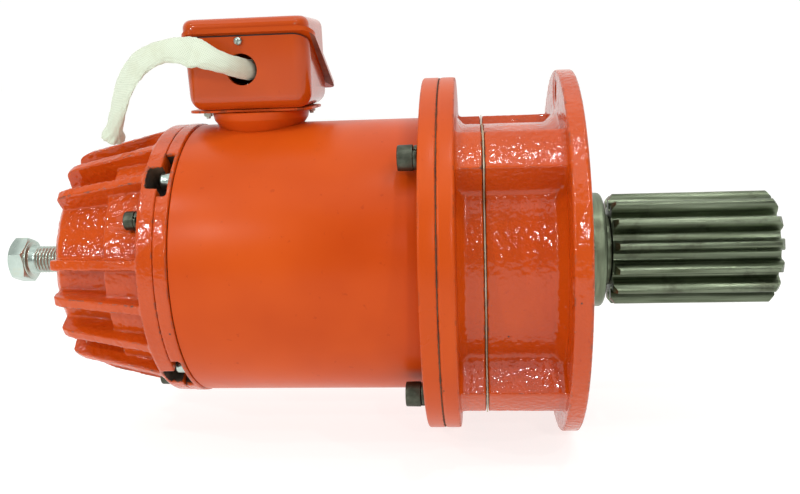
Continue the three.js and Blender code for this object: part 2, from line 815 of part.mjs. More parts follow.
// An upright block with rounded corners and edges, narrowing towards its lower end.
// A lean tips the upper part of its back wall inwards.
function boxBlock(inset, low, high, edge, lean = 0) {
  const corner = box.corner - inset * 0.6;
  const shape = roundedRectangle(box.halfWidth - inset - edge, box.halfDepth - inset - edge, corner - edge);
  const geometry = new THREE.ExtrudeGeometry(shape, {
    depth: high - low - 2 * edge,
    bevelEnabled: edge > 0,
    bevelSize: edge,
    bevelThickness: edge,
    bevelSegments: 2,
    curveSegments: 4,
  });
  geometry.translate(0, 0, low + edge);
  const rimHeight = box.splitHeight - box.splitSlope * box.halfDepth;
  const foot = box.splitHeight + box.splitSlope * box.halfDepth;
  const position = geometry.attributes.position;
  for (let i = 0; i < position.count; i += 1) {
    const scale = 1 - box.draft * Math.max(0, rimHeight - position.getZ(i));
    const rise = Math.max(0, position.getZ(i) - foot);
    const towardsBack = (position.getY(i) + box.halfDepth) / (2 * box.halfDepth);
    position.setX(i, position.getX(i) * scale);
    position.setY(i, position.getY(i) * scale - lean * rise * towardsBack);
  }
  return solid(geometry.translate(box.centreX, 0, 0));
}

// The space between two heights above the slanted joint plane.
function slantedSlab(low, high) {
  const geometry = new THREE.BoxGeometry(140, 160, high - low);
  geometry.translate(0, 0, (low + high) / 2);
  geometry.rotateX(Math.atan(box.splitSlope));
  return solid(geometry.translate(box.centreX, 0, box.splitHeight));
}

function terminalBox() {
  const outer = boxBlock(0, box.floor, 150, box.bottomRound);
  const inner = boxBlock(box.wall, box.innerFloor, 150, 0);
  const { x, z, radius } = box.hole;
  const holeGeometry = new THREE.CylinderGeometry(radius, radius, 20, 24).translate(x, -box.halfDepth, z);
  const hole = solid(holeGeometry);
  const wireWay = upright(9, 80, 95, box.centreX, 0);
  return cut(outer.intersect(slantedSlab(-80, -1)), inner, hole, wireWay);
}

function terminalBoxLid() {
  const outer = boxBlock(0, 60, box.top, box.topRound, box.lean);
  const inner = boxBlock(box.wall, 50, box.top - box.wall, 0, box.lean);
  const { left, right, front, back, corner, frontCorner, thickness } = box.lip;
  const lipWidth = box.halfWidth + (left + right) / 2;
  const lipDepth = box.halfDepth + (front + back) / 2;
  const lipOutline = roundedRectangle(lipWidth, lipDepth, corner, frontCorner);
  const lipPrism = new THREE.ExtrudeGeometry(lipOutline, {
    depth: 90,
    bevelEnabled: false,
    curveSegments: 4,
  });
  lipPrism.translate(box.centreX + (right - left) / 2, (back - front) / 2, 70);
  const lip = solid(lipPrism).intersect(slantedSlab(0, thickness));
  return cut(join(outer.intersect(slantedSlab(0, 80)), lip), inner);
}

function lidGasket() {
  const sheet = boxBlock(0.4, 60, 150, 0).intersect(slantedSlab(-0.85, -0.15));
  return cut(sheet, boxBlock(box.wall, 50, 160, 0));
}

// The round pedestal between the motor body and the box, with a way for the leads.
function boxPedestal() {
  const profile = [
    [8, 60],
    [20.5, 60],
    [20.5, 72],
    [23.2, 76],
    [26.4, 80.5],
    [27.4, 84.9],
    [8, 84.9],
    [8, 60],
  ].map(([radius, height]) => new THREE.Vector2(radius, height));
  const geometry = new THREE.LatheGeometry(profile, coarse);
  const bowl = solid(geometry.rotateX(Math.PI / 2).translate(box.centreX, 0, 0));
  return cut(bowl, rod(box.centreX - 40, box.centreX + 40, body.radius + gap, fine));
}

function boxPlate() {
  const { x, halfWidth, halfDepth, corner, bottom, thickness } = box.plate;
  const shape = roundedRectangle(halfWidth, halfDepth, corner);
  const geometry = new THREE.ExtrudeGeometry(shape, {
    depth: thickness,
    bevelEnabled: false,
    curveSegments: 5,
  });
  const plate = solid(geometry.translate(x, 0, bottom));
  return cut(plate, upright(9, 80, 95, box.centreX, 0));
}

function panHeadScrew(x, z, face, headRadius, shankRadius) {
  const profile = [
    [-6, 0],
    [-6, shankRadius],
    [gap, shankRadius],
    [gap, headRadius],
    [1.6, headRadius * 0.9],
    [2.4, headRadius * 0.5],
    [2.4, 0],
  ].map(([height, radius]) => new THREE.Vector2(radius, height));
  const geometry = new THREE.LatheGeometry(profile, 14);
  return solid(geometry.rotateX(Math.PI).translate(x, face, z));
}

function sleeveTube() {
  const curve = new THREE.CatmullRomCurve3(sleeve.route.map((point) => new THREE.Vector3(...point)));
  return tubeGeometry(curve, sleeve.radius, 10, 14);
}

function addTerminalBox() {
  add('box_pedestal', boxPedestal(), enamel);
  add('box_plate', boxPlate(), zincSteel);
  const { x, z, head, shank } = box.screw;
  const face = -box.halfDepth - 0.1;
  const screwWay = solid(new THREE.CylinderGeometry(shank + gap, shank + gap, 20, 14).translate(x, face, z));
  add('terminal_box', cut(terminalBox(), screwWay), enamel);
  add('lid_gasket', lidGasket(), rubber);
  add('terminal_box_lid', terminalBoxLid(), enamel);
  add('lid_screw', panHeadScrew(x, z, face, head, shank), zincSteel);
  const blockHeight = 9;
  const block = new THREE.BoxGeometry(38, 16, blockHeight);
  block.translate(box.centreX, 14, box.innerFloor + gap + blockHeight / 2);
  add('terminal_block', solid(block), phenolic);
  addGeometry('lead_sleeve', sleeveTube(), weave);
}

addGearbox();
addMotor();
addBrake();
addTerminalBox();

export default assembly;
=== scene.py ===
import json
import math

import bmesh
import bpy
import numpy as np
from mathutils import Matrix, Vector, noise


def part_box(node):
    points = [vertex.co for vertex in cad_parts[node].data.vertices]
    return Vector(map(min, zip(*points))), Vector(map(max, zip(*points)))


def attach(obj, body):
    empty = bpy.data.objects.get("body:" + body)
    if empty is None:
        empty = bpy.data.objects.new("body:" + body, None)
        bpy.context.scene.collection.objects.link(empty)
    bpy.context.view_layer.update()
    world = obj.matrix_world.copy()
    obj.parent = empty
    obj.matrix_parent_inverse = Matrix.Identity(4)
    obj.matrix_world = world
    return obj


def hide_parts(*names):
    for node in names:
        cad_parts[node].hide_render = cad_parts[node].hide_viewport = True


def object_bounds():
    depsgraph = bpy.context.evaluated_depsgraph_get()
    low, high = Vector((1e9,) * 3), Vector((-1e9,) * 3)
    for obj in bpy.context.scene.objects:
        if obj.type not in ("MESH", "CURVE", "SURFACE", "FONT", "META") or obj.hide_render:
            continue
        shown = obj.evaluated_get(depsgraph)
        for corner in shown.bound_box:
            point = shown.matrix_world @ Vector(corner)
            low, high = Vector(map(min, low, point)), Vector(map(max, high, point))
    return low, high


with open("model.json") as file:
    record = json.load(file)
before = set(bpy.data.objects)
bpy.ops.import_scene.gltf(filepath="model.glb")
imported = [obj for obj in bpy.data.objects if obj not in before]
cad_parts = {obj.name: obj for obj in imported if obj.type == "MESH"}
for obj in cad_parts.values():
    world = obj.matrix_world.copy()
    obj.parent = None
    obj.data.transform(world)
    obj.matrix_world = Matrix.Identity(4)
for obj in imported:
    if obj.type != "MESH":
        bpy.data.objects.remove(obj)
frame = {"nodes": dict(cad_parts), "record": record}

cad_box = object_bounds()
scene = bpy.context.scene
nodes = frame["nodes"]

# ---- dimensions, millimetres

MM = 0.001
RIB_ANGLES = (45, 135, 225, 315)  # about the shaft, from +Y towards +Z
HOLE_ANGLES = (0, 90, 180, 270)
COVER_SCREW_ANGLES = (61.6, 151.6, 241.6, 331.6)
COVER_SCREW_CIRCLE = 70.5  # radii of the circles that the screws lie on
SHIELD_SCREW_CIRCLE = 71.6
FLANGE_SCREW_CIRCLE = 88.0
MOUNTING_HOLE_CIRCLE = 90.0


def span(node):
    """Lowest and highest corners of a CAD node, in millimetres."""
    low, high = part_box(node)
    return low / MM, high / MM


BODY_LOW, BODY_HIGH = span("motor_body")
BODY_RADIUS = BODY_HIGH.y
RING_RADIUS = span("rear_end_shield")[1].y
SHIELD_LOW, SHIELD_HIGH = span("front_end_shield")
GEAR_COVER_LOW, GEAR_COVER_HIGH = span("gearbox_cover")
HOUSING_LOW, HOUSING_HIGH = span("gearbox_housing")
CAP_FACE = span("output_bearing_cap")[1].x
PINION_LOW, PINION_HIGH = span("drive_pinion")
BOLT_LOW, BOLT_HIGH = span("adjusting_bolt")
PLATE_LOW, PLATE_HIGH = span("box_plate")

# ---- camera


CAMERA_PLACE = (-53.5, -484.3, 109.2)
CAMERA_TURN, CAMERA_DIP, CAMERA_ROLL = 5.25, 12.26, -2.18  # degrees
CAMERA_LENS = 38.45


def make_camera():
    data = bpy.data.cameras.new("camera")
    data.sensor_width = 36.0
    data.lens = CAMERA_LENS
    data.clip_start = 0.01
    camera = bpy.data.objects.new("camera", data)
    scene.collection.objects.link(camera)
    turn = Matrix.Rotation(math.radians(CAMERA_TURN), 4, "Z")
    tilt = Matrix.Rotation(math.radians(90 - CAMERA_DIP), 4, "X")
    roll = Matrix.Rotation(math.radians(CAMERA_ROLL), 4, "Z")
    place = Matrix.Translation(Vector(CAMERA_PLACE) * MM)
    camera.matrix_world = place @ turn @ tilt @ roll
    scene.camera = camera


make_camera()

# ---- mesh helpers


def link(name, mesh):
    obj = bpy.data.objects.new(name, mesh)
    scene.collection.objects.link(obj)
    return obj


def object_from(name, points, faces):
    """A mesh object from points in millimetres."""
    mesh = bpy.data.meshes.new(name)
    mesh.from_pydata([tuple(c * MM for c in p) for p in points], [], faces)
    mesh.validate()
    obj = link(name, mesh)
    face_outward(obj)
    return obj


def face_outward(obj):
    bm = bmesh.new()
    bm.from_mesh(obj.data)
    bmesh.ops.recalc_face_normals(bm, faces=bm.faces)
    bm.to_mesh(obj.data)
    bm.free()


def rounded(profile, steps=4, closed=True):
    """Points (x, y) of a profile whose (x, y, radius) corners are rounded."""
    result = []
    count = len(profile)
    for i, corner in enumerate(profile):
        point = Vector(corner[:2])
        radius = corner[2] if len(corner) > 2 else 0
        at_end = not closed and i in (0, count - 1)
        if radius <= 0 or at_end:
            result.append(tuple(point))
            continue
        before = (Vector(profile[i - 1][:2]) - point).normalized()
        after = (Vector(profile[(i + 1) % count][:2]) - point).normalized()
        half = before.angle(after) / 2
        bisector = (before + after).normalized()
        centre = point + bisector * (radius / math.sin(half))
        start = point + before * (radius / math.tan(half)) - centre
        end = point + after * (radius / math.tan(half)) - centre
        turn = start.angle_signed(end)
        for step in range(steps + 1):
            arm = start.copy()
            arm.rotate(Matrix.Rotation(-turn * step / steps, 2))
            result.append(tuple(centre + arm))
    return result


def lathe(name, profile, segments=160, steps=4):
    """A profile of (x, radius, rounding) turned about the shaft axis."""
    closed = min(profile[0][1], profile[-1][1]) > 0
    outline = rounded(profile, steps, closed)
    points, rings = [], []
    for x, radius in outline:
        if radius < 1e-6:
            rings.append([len(points)] * segments)
            points.append((x, 0, 0))
            continue
        rings.append(list(range(len(points), len(points) + segments)))
        for i in range(segments):
            angle = 2 * math.pi * i / segments
            points.append((x, radius * math.cos(angle), radius * math.sin(angle)))
    pairs = list(zip(rings, rings[1:]))
    if closed:
        pairs.append((rings[-1], rings[0]))
    faces = []
    for first, second in pairs:
        for i in range(segments):
            j = (i + 1) % segments
            face = [first[i], first[j], second[j], second[i]]
            face = [v for k, v in enumerate(face) if v != face[k - 1]]
            if len(face) > 2:
                faces.append(face)
    return object_from(name, points, faces)


def loft(name, sections, rising=False):
    """A solid through sections of as many points each; rising says which end is wound first."""
    points = [point for section in sections for point in section]
    count = len(points) // len(sections)
    last = len(points) - count
    first_end, last_end = list(range(count)), list(range(last, last + count))
    faces = [first_end[::-1], last_end] if rising else [first_end, last_end[::-1]]
    for low in range(0, last, count):
        for i in range(count):
            j = (i + 1) % count
            faces.append([low + i, low + j, low + count + j, low + count + i])
    return object_from(name, points, faces)


def prism(name, outline, back, front):
    """An outline of (y, z) points extruded along the shaft."""
    return loft(name, [[(x, y, z) for y, z in outline] for x in (back, front)])


def turn_about_shaft(obj, degrees):
    obj.data.transform(Matrix.Rotation(math.radians(degrees), 4, "X"))
    return obj


def shift(obj, x=0.0, y=0.0, z=0.0):
    obj.data.transform(Matrix.Translation(Vector((x, y, z)) * MM))
    return obj


def around(build, angles):
    """One piece for each angle about the shaft, built along +Y."""
    return [turn_about_shaft(build(i), angle) for i, angle in enumerate(angles)]


def rod(name, back, front, radius, segments=40):
    return lathe(name, [(back, 0), (back, radius), (front, radius), (front, 0)], segments)


def rods(name, back, front, radius, circle, angles):
    """Rods along the shaft, centred on a circle about it."""
    return around(lambda i: shift(rod(f"{name}_{i}", back, front, radius), y=circle), angles)


def block(name, low, high):
    xs, ys, zs = zip(low, high)
    corners = [(x, y, z) for x in xs for y in ys for z in zs]
    faces = [(0, 1, 3, 2), (4, 6, 7, 5), (0, 4, 5, 1), (2, 3, 7, 6), (0, 2, 6, 4), (1, 5, 7, 3)]
    return object_from(name, corners, faces)


def upright(obj, x, y, z):
    """Stands a piece made along the shaft on end and moves it to a place."""
    obj.data.transform(Matrix.Rotation(math.radians(-90), 4, "Y"))
    return shift(obj, x, y, z)


def apply_modifiers(obj):
    graph = bpy.context.evaluated_depsgraph_get()
    graph.update()
    mesh = bpy.data.meshes.new_from_object(obj.evaluated_get(graph))
    obj.modifiers.clear()
    old = obj.data
    obj.data = mesh
    bpy.data.meshes.remove(old)
    return obj


def combine(obj, tools, operation):
    for tool in tools:
        modifier = obj.modifiers.new("combine", "BOOLEAN")
        modifier.operation = operation
        modifier.solver = "MANIFOLD"
        modifier.object = tool
    apply_modifiers(obj)
    for tool in tools:
        bpy.data.objects.remove(tool)
    return obj


def join(obj, *tools):
    return combine(obj, tools, "UNION")


def cut(obj, *tools):
    return combine(obj, tools, "DIFFERENCE")


def bevel(obj, width, segments=2, angle=35):
    modifier = obj.modifiers.new("bevel", "BEVEL")
    modifier.width = width * MM
    modifier.segments = segments
    modifier.limit_method = "ANGLE"
    modifier.angle_limit = math.radians(angle)
    return apply_modifiers(obj)


def smooth_shade(obj, angle=35):
    mesh = obj.data
    mesh.polygons.foreach_set("use_smooth", [True] * len(mesh.polygons))
    mesh.set_sharp_from_angle(angle=math.radians(angle))
    return obj


def flatten_shading(obj):
    """Lets the large flat faces set the shading, so that it doesn't drift across them."""
    modifier = obj.modifiers.new("weigh", "WEIGHTED_NORMAL")
    modifier.keep_sharp = True
    return apply_modifiers(obj)


def vectors(items, attribute):
    """A vector attribute of every item, one to a row."""
    values = np.zeros(len(items) * 3)
    items.foreach_get(attribute, values)
    return values.reshape(-1, 3)


def cast(obj, voxel, rounds, relief, seed=0.0):
    """Fuses a piece into one casting with soft edges and a slightly uneven skin.

    relief(x, radius) gives the height of the unevenness in millimetres."""
    modifier = obj.modifiers.new("fuse", "REMESH")
    modifier.mode = "VOXEL"
    modifier.voxel_size = voxel * MM
    modifier.adaptivity = 0.0
    soften = obj.modifiers.new("soften", "SMOOTH")
    soften.factor = 0.5
    soften.iterations = rounds
    apply_modifiers(obj)
    mesh = obj.data
    normals = vectors(mesh.vertices, "normal")
    points = vectors(mesh.vertices, "co")
    radii = np.hypot(points[:, 1], points[:, 2]) / MM
    heights = relief(points[:, 0] / MM, radii)
    for i in np.nonzero(heights > 0)[0]:
        place = Vector(points[i]) / MM
        lump = noise.noise(place * 0.13 + Vector((seed, 0, 0)))
        grain = noise.noise(place * 0.40 + Vector((0, seed, 0)))
        points[i] += normals[i] * heights[i] * (0.45 * lump + 0.55 * grain) * MM
    mesh.vertices.foreach_set("co", points.ravel())
    mesh.polygons.foreach_set("use_smooth", [True] * len(mesh.polygons))
    mesh.update()
    return obj


# ---- materials

materials = {}


class Shader:
    """A node material with short ways to add and wire nodes."""

    def __init__(self, name):
        self.material = bpy.data.materials.new(name)
        materials[name] = self.material
        self.material.use_nodes = True
        self.tree = self.material.node_tree
        self.surface = self.tree.nodes["Principled BSDF"]
        self.place = self.tree.nodes.new("ShaderNodeTexCoord").outputs["Object"]

    def node(self, kind, **values):
        node = self.tree.nodes.new(kind)
        for key, value in values.items():
            if hasattr(node, key):
                setattr(node, key, value)
            else:
                node.inputs[key.replace("_", " ").title()].default_value = value
        return node

    def wire(self, output, socket):
        self.tree.links.new(output, socket)

    def feed(self, socket, value):
        """Sets a socket to a number or a colour, or wires an output to it."""
        if isinstance(value, (int, float)):
            socket.default_value = value
        elif isinstance(value, tuple):
            socket.default_value = (*value, 1)
        else:
            self.wire(value, socket)

    def stretched(self, scale):
        mapping = self.node("ShaderNodeMapping")
        mapping.inputs["Scale"].default_value = scale
        self.wire(self.place, mapping.inputs["Vector"])
        return mapping.outputs["Vector"]

    def noise(self, scale, detail=4.0, roughness=0.5, stretch=None):
        node = self.node("ShaderNodeTexNoise", scale=scale, detail=detail, roughness=roughness)
        self.wire(self.stretched(stretch) if stretch else self.place, node.inputs["Vector"])
        return node.outputs["Fac"]

    def cells(self, scale, feature="F1"):
        node = self.node("ShaderNodeTexVoronoi", feature=feature, scale=scale)
        self.wire(self.place, node.inputs["Vector"])
        return node.outputs["Distance"]

    def ramp(self, value, stops):
        node = self.node("ShaderNodeValToRGB")
        ramp = node.color_ramp
        while len(ramp.elements) < len(stops):
            ramp.elements.new(0.5)
        for element, (position, colour) in zip(ramp.elements, stops):
            element.position = position
            if isinstance(colour, (int, float)):
                colour = (colour, colour, colour)
            element.color = (*colour, 1)
        self.wire(value, node.inputs["Fac"])
        return node.outputs["Color"]

    def maths(self, operation, first, second=None):
        node = self.node("ShaderNodeMath", operation=operation)
        for socket, value in zip(node.inputs, (first, second)):
            if value is not None:
                self.feed(socket, value)
        return node.outputs["Value"]

    def mix(self, factor, first, second):
        node = self.node("ShaderNodeMix", data_type="RGBA")
        for key, value in (("Factor", factor), ("A", first), ("B", second)):
            self.feed(node.inputs[key], value)
        return node.outputs["Result"]

    def bump(self, height, distance, strength=1.0, under=None):
        node = self.node("ShaderNodeBump")
        node.inputs["Strength"].default_value = strength
        node.inputs["Distance"].default_value = distance * MM
        self.wire(height, node.inputs["Height"])
        if under is not None:
            self.wire(under, node.inputs["Normal"])
        return node.outputs["Normal"]

    def set(self, **values):
        for key, value in values.items():
            self.feed(self.surface.inputs[key.replace("_", " ")], value)


ENAMEL_LIGHT = (0.66, 0.088, 0.006)
ENAMEL_DEEP = (0.55, 0.062, 0.0035)
BARE_IRON = (0.045, 0.035, 0.028)
RUST = (0.11, 0.045, 0.018)


def enamel(name, roughness, specular=0.5, grain=0.0, chips=0.0, coat=0.0, shade=1.0):
    """Orange enamel; grain is the height of the cast skin, chips how much edge wear."""
    s = Shader(name)
    deep, light = (tuple(shade * c for c in colour) for colour in (ENAMEL_DEEP, ENAMEL_LIGHT))
    tone = s.ramp(s.noise(12, 3), [(0.3, deep), (0.6, light)])
    specks = s.ramp(s.noise(240, 3), [(0.68, 0.0), (0.74, 1.0)])
    colour = s.mix(s.maths("MULTIPLY", specks, 0.35), tone, (0.36, 0.026, 0.002))
    worn = None
    if chips:
        geometry = s.node("ShaderNodeNewGeometry").outputs["Pointiness"]
        edge = s.ramp(geometry, [(0.522, 0.0), (0.56, 1.0)])
        patch = s.ramp(s.noise(130, 4, 0.7), [(0.53, 0.0), (0.57, 1.0)])
        pocks = s.ramp(s.cells(80), [(0.035, 1.0), (0.055, 0.0)])
        few = s.ramp(s.noise(34, 2), [(0.52, 0.0), (0.55, 1.0)])
        worn = s.maths("MAXIMUM", s.maths("MULTIPLY", edge, patch), s.maths("MULTIPLY", pocks, few))
        worn = s.maths("MULTIPLY", worn, chips)
        colour = s.mix(worn, colour, s.mix(s.noise(300, 2), BARE_IRON, RUST))
    normal = s.bump(s.noise(120, 2, 0.4), 0.05, 0.4)
    if grain:
        lumps = s.maths("MULTIPLY", s.cells(330, "SMOOTH_F1"), 0.35)
        pits = s.maths("ADD", s.noise(430, 1.5, 0.45), lumps)
        normal = s.bump(pits, grain, 1.0, normal)
    low, high = roughness
    rough = s.ramp(s.noise(26, 3), [(0.3, low), (0.7, high)])
    if worn is not None:
        rough = s.mix(worn, rough, (0.7, 0.7, 0.7))
    s.set(Base_Color=colour, Roughness=rough, Specular_IOR_Level=specular, Normal=normal,
          Coat_Weight=coat, Coat_Roughness=0.06)


def metal(name, light, dark, roughness, stretch=None, scale=60, height=0.02, stains=None):
    """Bare metal with tool marks along its stretched grain and a little staining."""
    s = Shader(name)
    marks = s.noise(scale, 5, 0.6, stretch)
    colour = s.ramp(marks, [(0.3, dark), (0.7, light)])
    if stains:
        spots = s.ramp(s.noise(45, 4, 0.65), [(0.56, 0.0), (0.68, 1.0)])
        colour = s.mix(s.maths("MULTIPLY", spots, 0.6), colour, stains)
    low, high = roughness
    rough = s.ramp(s.noise(38, 4), [(0.3, low), (0.7, high)])
    s.set(Base_Color=colour, Metallic=1.0, Roughness=rough, Normal=s.bump(marks, height, 0.6))


def dull(name, light, dark, roughness, scale=90, height=0.05):
    """A dull non-metal with mottling and a fine rough skin."""
    s = Shader(name)
    fine = s.noise(scale * 6, 4, 0.6)
    colour = s.ramp(s.noise(scale, 4), [(0.3, dark), (0.7, light)])
    s.set(Base_Color=colour, Roughness=roughness, Normal=s.bump(fine, height, 0.7))


def banded(name, light, dark, roughness, metallic, scale, distortion, height, strength):
    """Fine bands round the shaft: the edges of stacked sheets, or turns of wire."""
    s = Shader(name)
    bands = s.node("ShaderNodeTexWave", bands_direction="X", scale=scale, distortion=distortion)
    s.wire(s.place, bands.inputs["Vector"])
    colour = s.ramp(bands.outputs["Fac"], [(0.2, dark), (0.7, light)])
    normal = s.bump(bands.outputs["Fac"], height, strength)
    s.set(Base_Color=colour, Metallic=metallic, Roughness=roughness, Normal=normal)


ROUND_STRANDS, LENGTH_STRANDS = 16, 56


def woven(name):
    """Off-white braid: two sets of strands crossing round the tube, in its own UV map."""
    s = Shader(name)
    uv = s.node("ShaderNodeUVMap", uv_map="braid").outputs["UV"]
    split = s.node("ShaderNodeSeparateXYZ")
    s.wire(uv, split.inputs["Vector"])
    u, v = split.outputs["X"], split.outputs["Y"]

    def strand(sign):
        phase = s.maths("ADD", s.maths("MULTIPLY", u, ROUND_STRANDS * 2 * math.pi),
                        s.maths("MULTIPLY", v, sign * LENGTH_STRANDS * 2 * math.pi))
        return s.maths("ABSOLUTE", s.maths("SINE", phase))

    weave = s.maths("MAXIMUM", strand(1), strand(-1))
    fuzz = s.noise(900, 3, 0.7)
    height = s.maths("ADD", weave, s.maths("MULTIPLY", fuzz, 0.5))
    # shade is darker where the weave is low, in the gaps between the strands: painted shade
    shade = s.ramp(weave, [(0.25, (0.41, 0.47, 0.34)), (0.9, (0.69, 0.76, 0.61))])
    grime = s.ramp(s.noise(55, 4, 0.6), [(0.52, 0.0), (0.75, 1.0)])
    colour = s.mix(s.maths("MULTIPLY", grime, 0.35), shade, (0.46, 0.47, 0.30))
    s.set(Base_Color=colour, Roughness=0.85, Sheen_Weight=0.25, Normal=s.bump(height, 0.16, 0.7))


STEEL_DARK = dict(light=(0.22, 0.26, 0.18), dark=(0.07, 0.086, 0.052), roughness=(0.27, 0.38))
HUB_STEEL = dict(light=(0.20, 0.24, 0.16), dark=(0.12, 0.145, 0.095), roughness=(0.32, 0.46))

enamel("orange_enamel", (0.09, 0.16), specular=0.45, grain=0.32, chips=1.0, shade=0.9)
enamel("orange_enamel_smooth", (0.26, 0.34), specular=0.2, chips=0.9, shade=0.9)
enamel("orange_enamel_plain", (0.28, 0.36), specular=0.17, shade=0.92)
# The box and lid's glossy copy is darkened more than the other enamels (shade 0.76): painted shade
enamel("orange_enamel_gloss_painted_shade", (0.10, 0.18), specular=0.36, coat=0.15, shade=0.76)
dull("gasket_paper", (0.62, 0.55, 0.40), (0.36, 0.29, 0.18), 0.9)
metal("gear_steel", (0.58, 0.59, 0.60), (0.36, 0.37, 0.38), (0.22, 0.38))
metal("oiled_dark_steel", **STEEL_DARK, stretch=(0.05, 1, 1), scale=420, height=0.012,
      stains=(0.045, 0.045, 0.03))
metal("turned_dark_steel", **HUB_STEEL, stretch=(1, 0.08, 0.08), scale=700, height=0.02,
      stains=(0.05, 0.05, 0.035))
metal("bearing_steel", (0.64, 0.65, 0.66), (0.45, 0.46, 0.47), (0.18, 0.32))
metal("black_fastener", (0.115, 0.125, 0.095), (0.05, 0.058, 0.042), (0.35, 0.55), scale=220,
      height=0.04, stains=(0.07, 0.05, 0.03))
metal("zinc_steel", (0.58, 0.68, 0.62), (0.40, 0.49, 0.44), (0.24, 0.40), scale=90, height=0.01,
      stains=(0.50, 0.52, 0.38))
dull("seal_rubber", (0.03, 0.03, 0.03), (0.012, 0.012, 0.012), 0.75)
dull("magnet_ferrite", (0.10, 0.10, 0.11), (0.05, 0.05, 0.055), 0.6)
banded("core_laminations", (0.42, 0.43, 0.44), (0.12, 0.12, 0.12), 0.42, 0.9, 320, 0.3, 0.05, 0.6)
banded("winding_copper", (0.58, 0.24, 0.09), (0.20, 0.06, 0.02), 0.3, 0.8, 180, 2.0, 0.12, 0.7)
dull("phenolic", (0.22, 0.09, 0.05), (0.12, 0.045, 0.025), 0.5)
metal("brass", (0.72, 0.54, 0.22), (0.52, 0.37, 0.13), (0.24, 0.4))
dull("brush_carbon", (0.05, 0.05, 0.05), (0.02, 0.02, 0.02), 0.65)
dull("friction_lining", (0.16, 0.13, 0.10), (0.07, 0.06, 0.05), 0.9)
woven("woven_sleeve")
dull("raw_casting", (0.11, 0.060, 0.032), (0.014, 0.011, 0.008), 0.8, scale=110, height=0.4)
# Dark orange-brown for the undersides of the lid's lip: painted shade
dull("lip_underside_painted_shade", (0.30, 0.12, 0.07), (0.14, 0.045, 0.025), 0.6, scale=120)
dull("sealant", (0.16, 0.075, 0.035), (0.03, 0.022, 0.016), 0.8, scale=160, height=0.15)


def clothe_cad_nodes():
    for part in frame["record"]["subparts"]:
        obj = nodes[part["node"]]
        obj.data.materials.clear()
        obj.data.materials.append(materials[part["material_slot"]])


clothe_cad_nodes()


def finish_piece(obj, body, slot, stands_for=(), look=None):
    """Gives a piece without a material its look, else its slot's material, puts it on its body and hides
    the CAD nodes it stands for.
    """
    if not any(obj.data.materials):  # a cut leaves an empty slot behind
        obj.data.materials.clear()
        obj.data.materials.append(materials[look or slot])
    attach(obj, body)
    if stands_for:
        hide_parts(*stands_for)
    return obj


def two_looks(obj, first, second, rule):
    """Puts the second material on the faces whose centre satisfies rule(x, radius, angle)."""
    mesh = obj.data
    mesh.materials.clear()
    mesh.materials.append(materials[first])
    mesh.materials.append(materials[second])
    x, y, z = vectors(mesh.polygons, "center").T / MM
    chosen = rule(x, np.hypot(y, z), np.degrees(np.arctan2(z, y)))
    mesh.polygons.foreach_set("material_index", chosen.astype(np.int32))
    mesh.update()


# ---- lead sleeve

SLEEVE_DIAMETER, SLEEVE_WALL, SLEEVE_SIDES = 11.2, 0.55, 72
SLEEVE_ROUTE = (
    (-171.4, -13.0, 107.2), (-172.8, -20.6, 107.6), (-175.4, -28.0, 108.3), (-178.8, -34.4, 109.8),
    (-183.6, -39.0, 111.9), (-189.6, -41.8, 114.5), (-196.4, -43.0, 117.3), (-204.0, -43.2, 118.9),
    (-212.0, -42.6, 118.8), (-220.0, -41.6, 116.6), (-227.8, -40.0, 112.6), (-234.2, -38.0, 107.0),
    (-239.2, -35.6, 100.4), (-243.2, -32.6, 93.4), (-246.8, -29.4, 86.6), (-250.2, -26.2, 79.8),
    (-253.2, -23.2, 73.6),
)


def spline(points, per_leg):
    """A smooth (Catmull-Rom) curve through points."""
    points = [Vector(p) for p in points]
    ends = [2 * points[0] - points[1], *points, 2 * points[-1] - points[-2]]
    line = []
    for a, b, c, d in zip(ends, ends[1:], ends[2:], ends[3:]):
        for i in range(per_leg):
            t = i / per_leg
            line.append(0.5 * (2 * b + (c - a) * t + (2 * a - 5 * b + 4 * c - d) * t * t
                               + (3 * b - a - 3 * c + d) * t ** 3))
    line.append(points[-1])
    return line


def bell(value, centre, width):
    return math.exp(-((value - centre) / width) ** 2)


# Width of the flattened sleeve, in millimetres, along its length: a fold stands up
# where it bends out over the box's edge, and its cut end flares.
SLEEVE_WIDTHS = (
    (0.0, 11.2), (0.12, 11.8), (0.22, 11.2), (0.28, 12.8), (0.33, 15.6), (0.36, 17.4), (0.41, 15.4),
    (0.48, 13.6), (0.56, 14.4), (0.63, 16.0), (0.70, 16.8), (0.80, 15.8), (0.92, 11.6), (0.97, 12.0),
    (1.0, 13.0),
)


def crease(angle, t):
    """Height of the creases at an angle round the sleeve and a place t along it."""
    arm = Vector((math.cos(angle), math.sin(angle), 0))
    height = 0.30 * noise.noise(3 * arm + Vector((0, 0, 26 * t)))
    height += 0.18 * noise.noise(9 * arm + Vector((0, 0, 40 * t)))
    deep = 1.2 * bell(t, 0.34, 0.06) + 1.0 * bell(t, 0.63, 0.07) + 1.5 * bell(t, 1.0, 0.05)
    return height * (1.0 + deep)


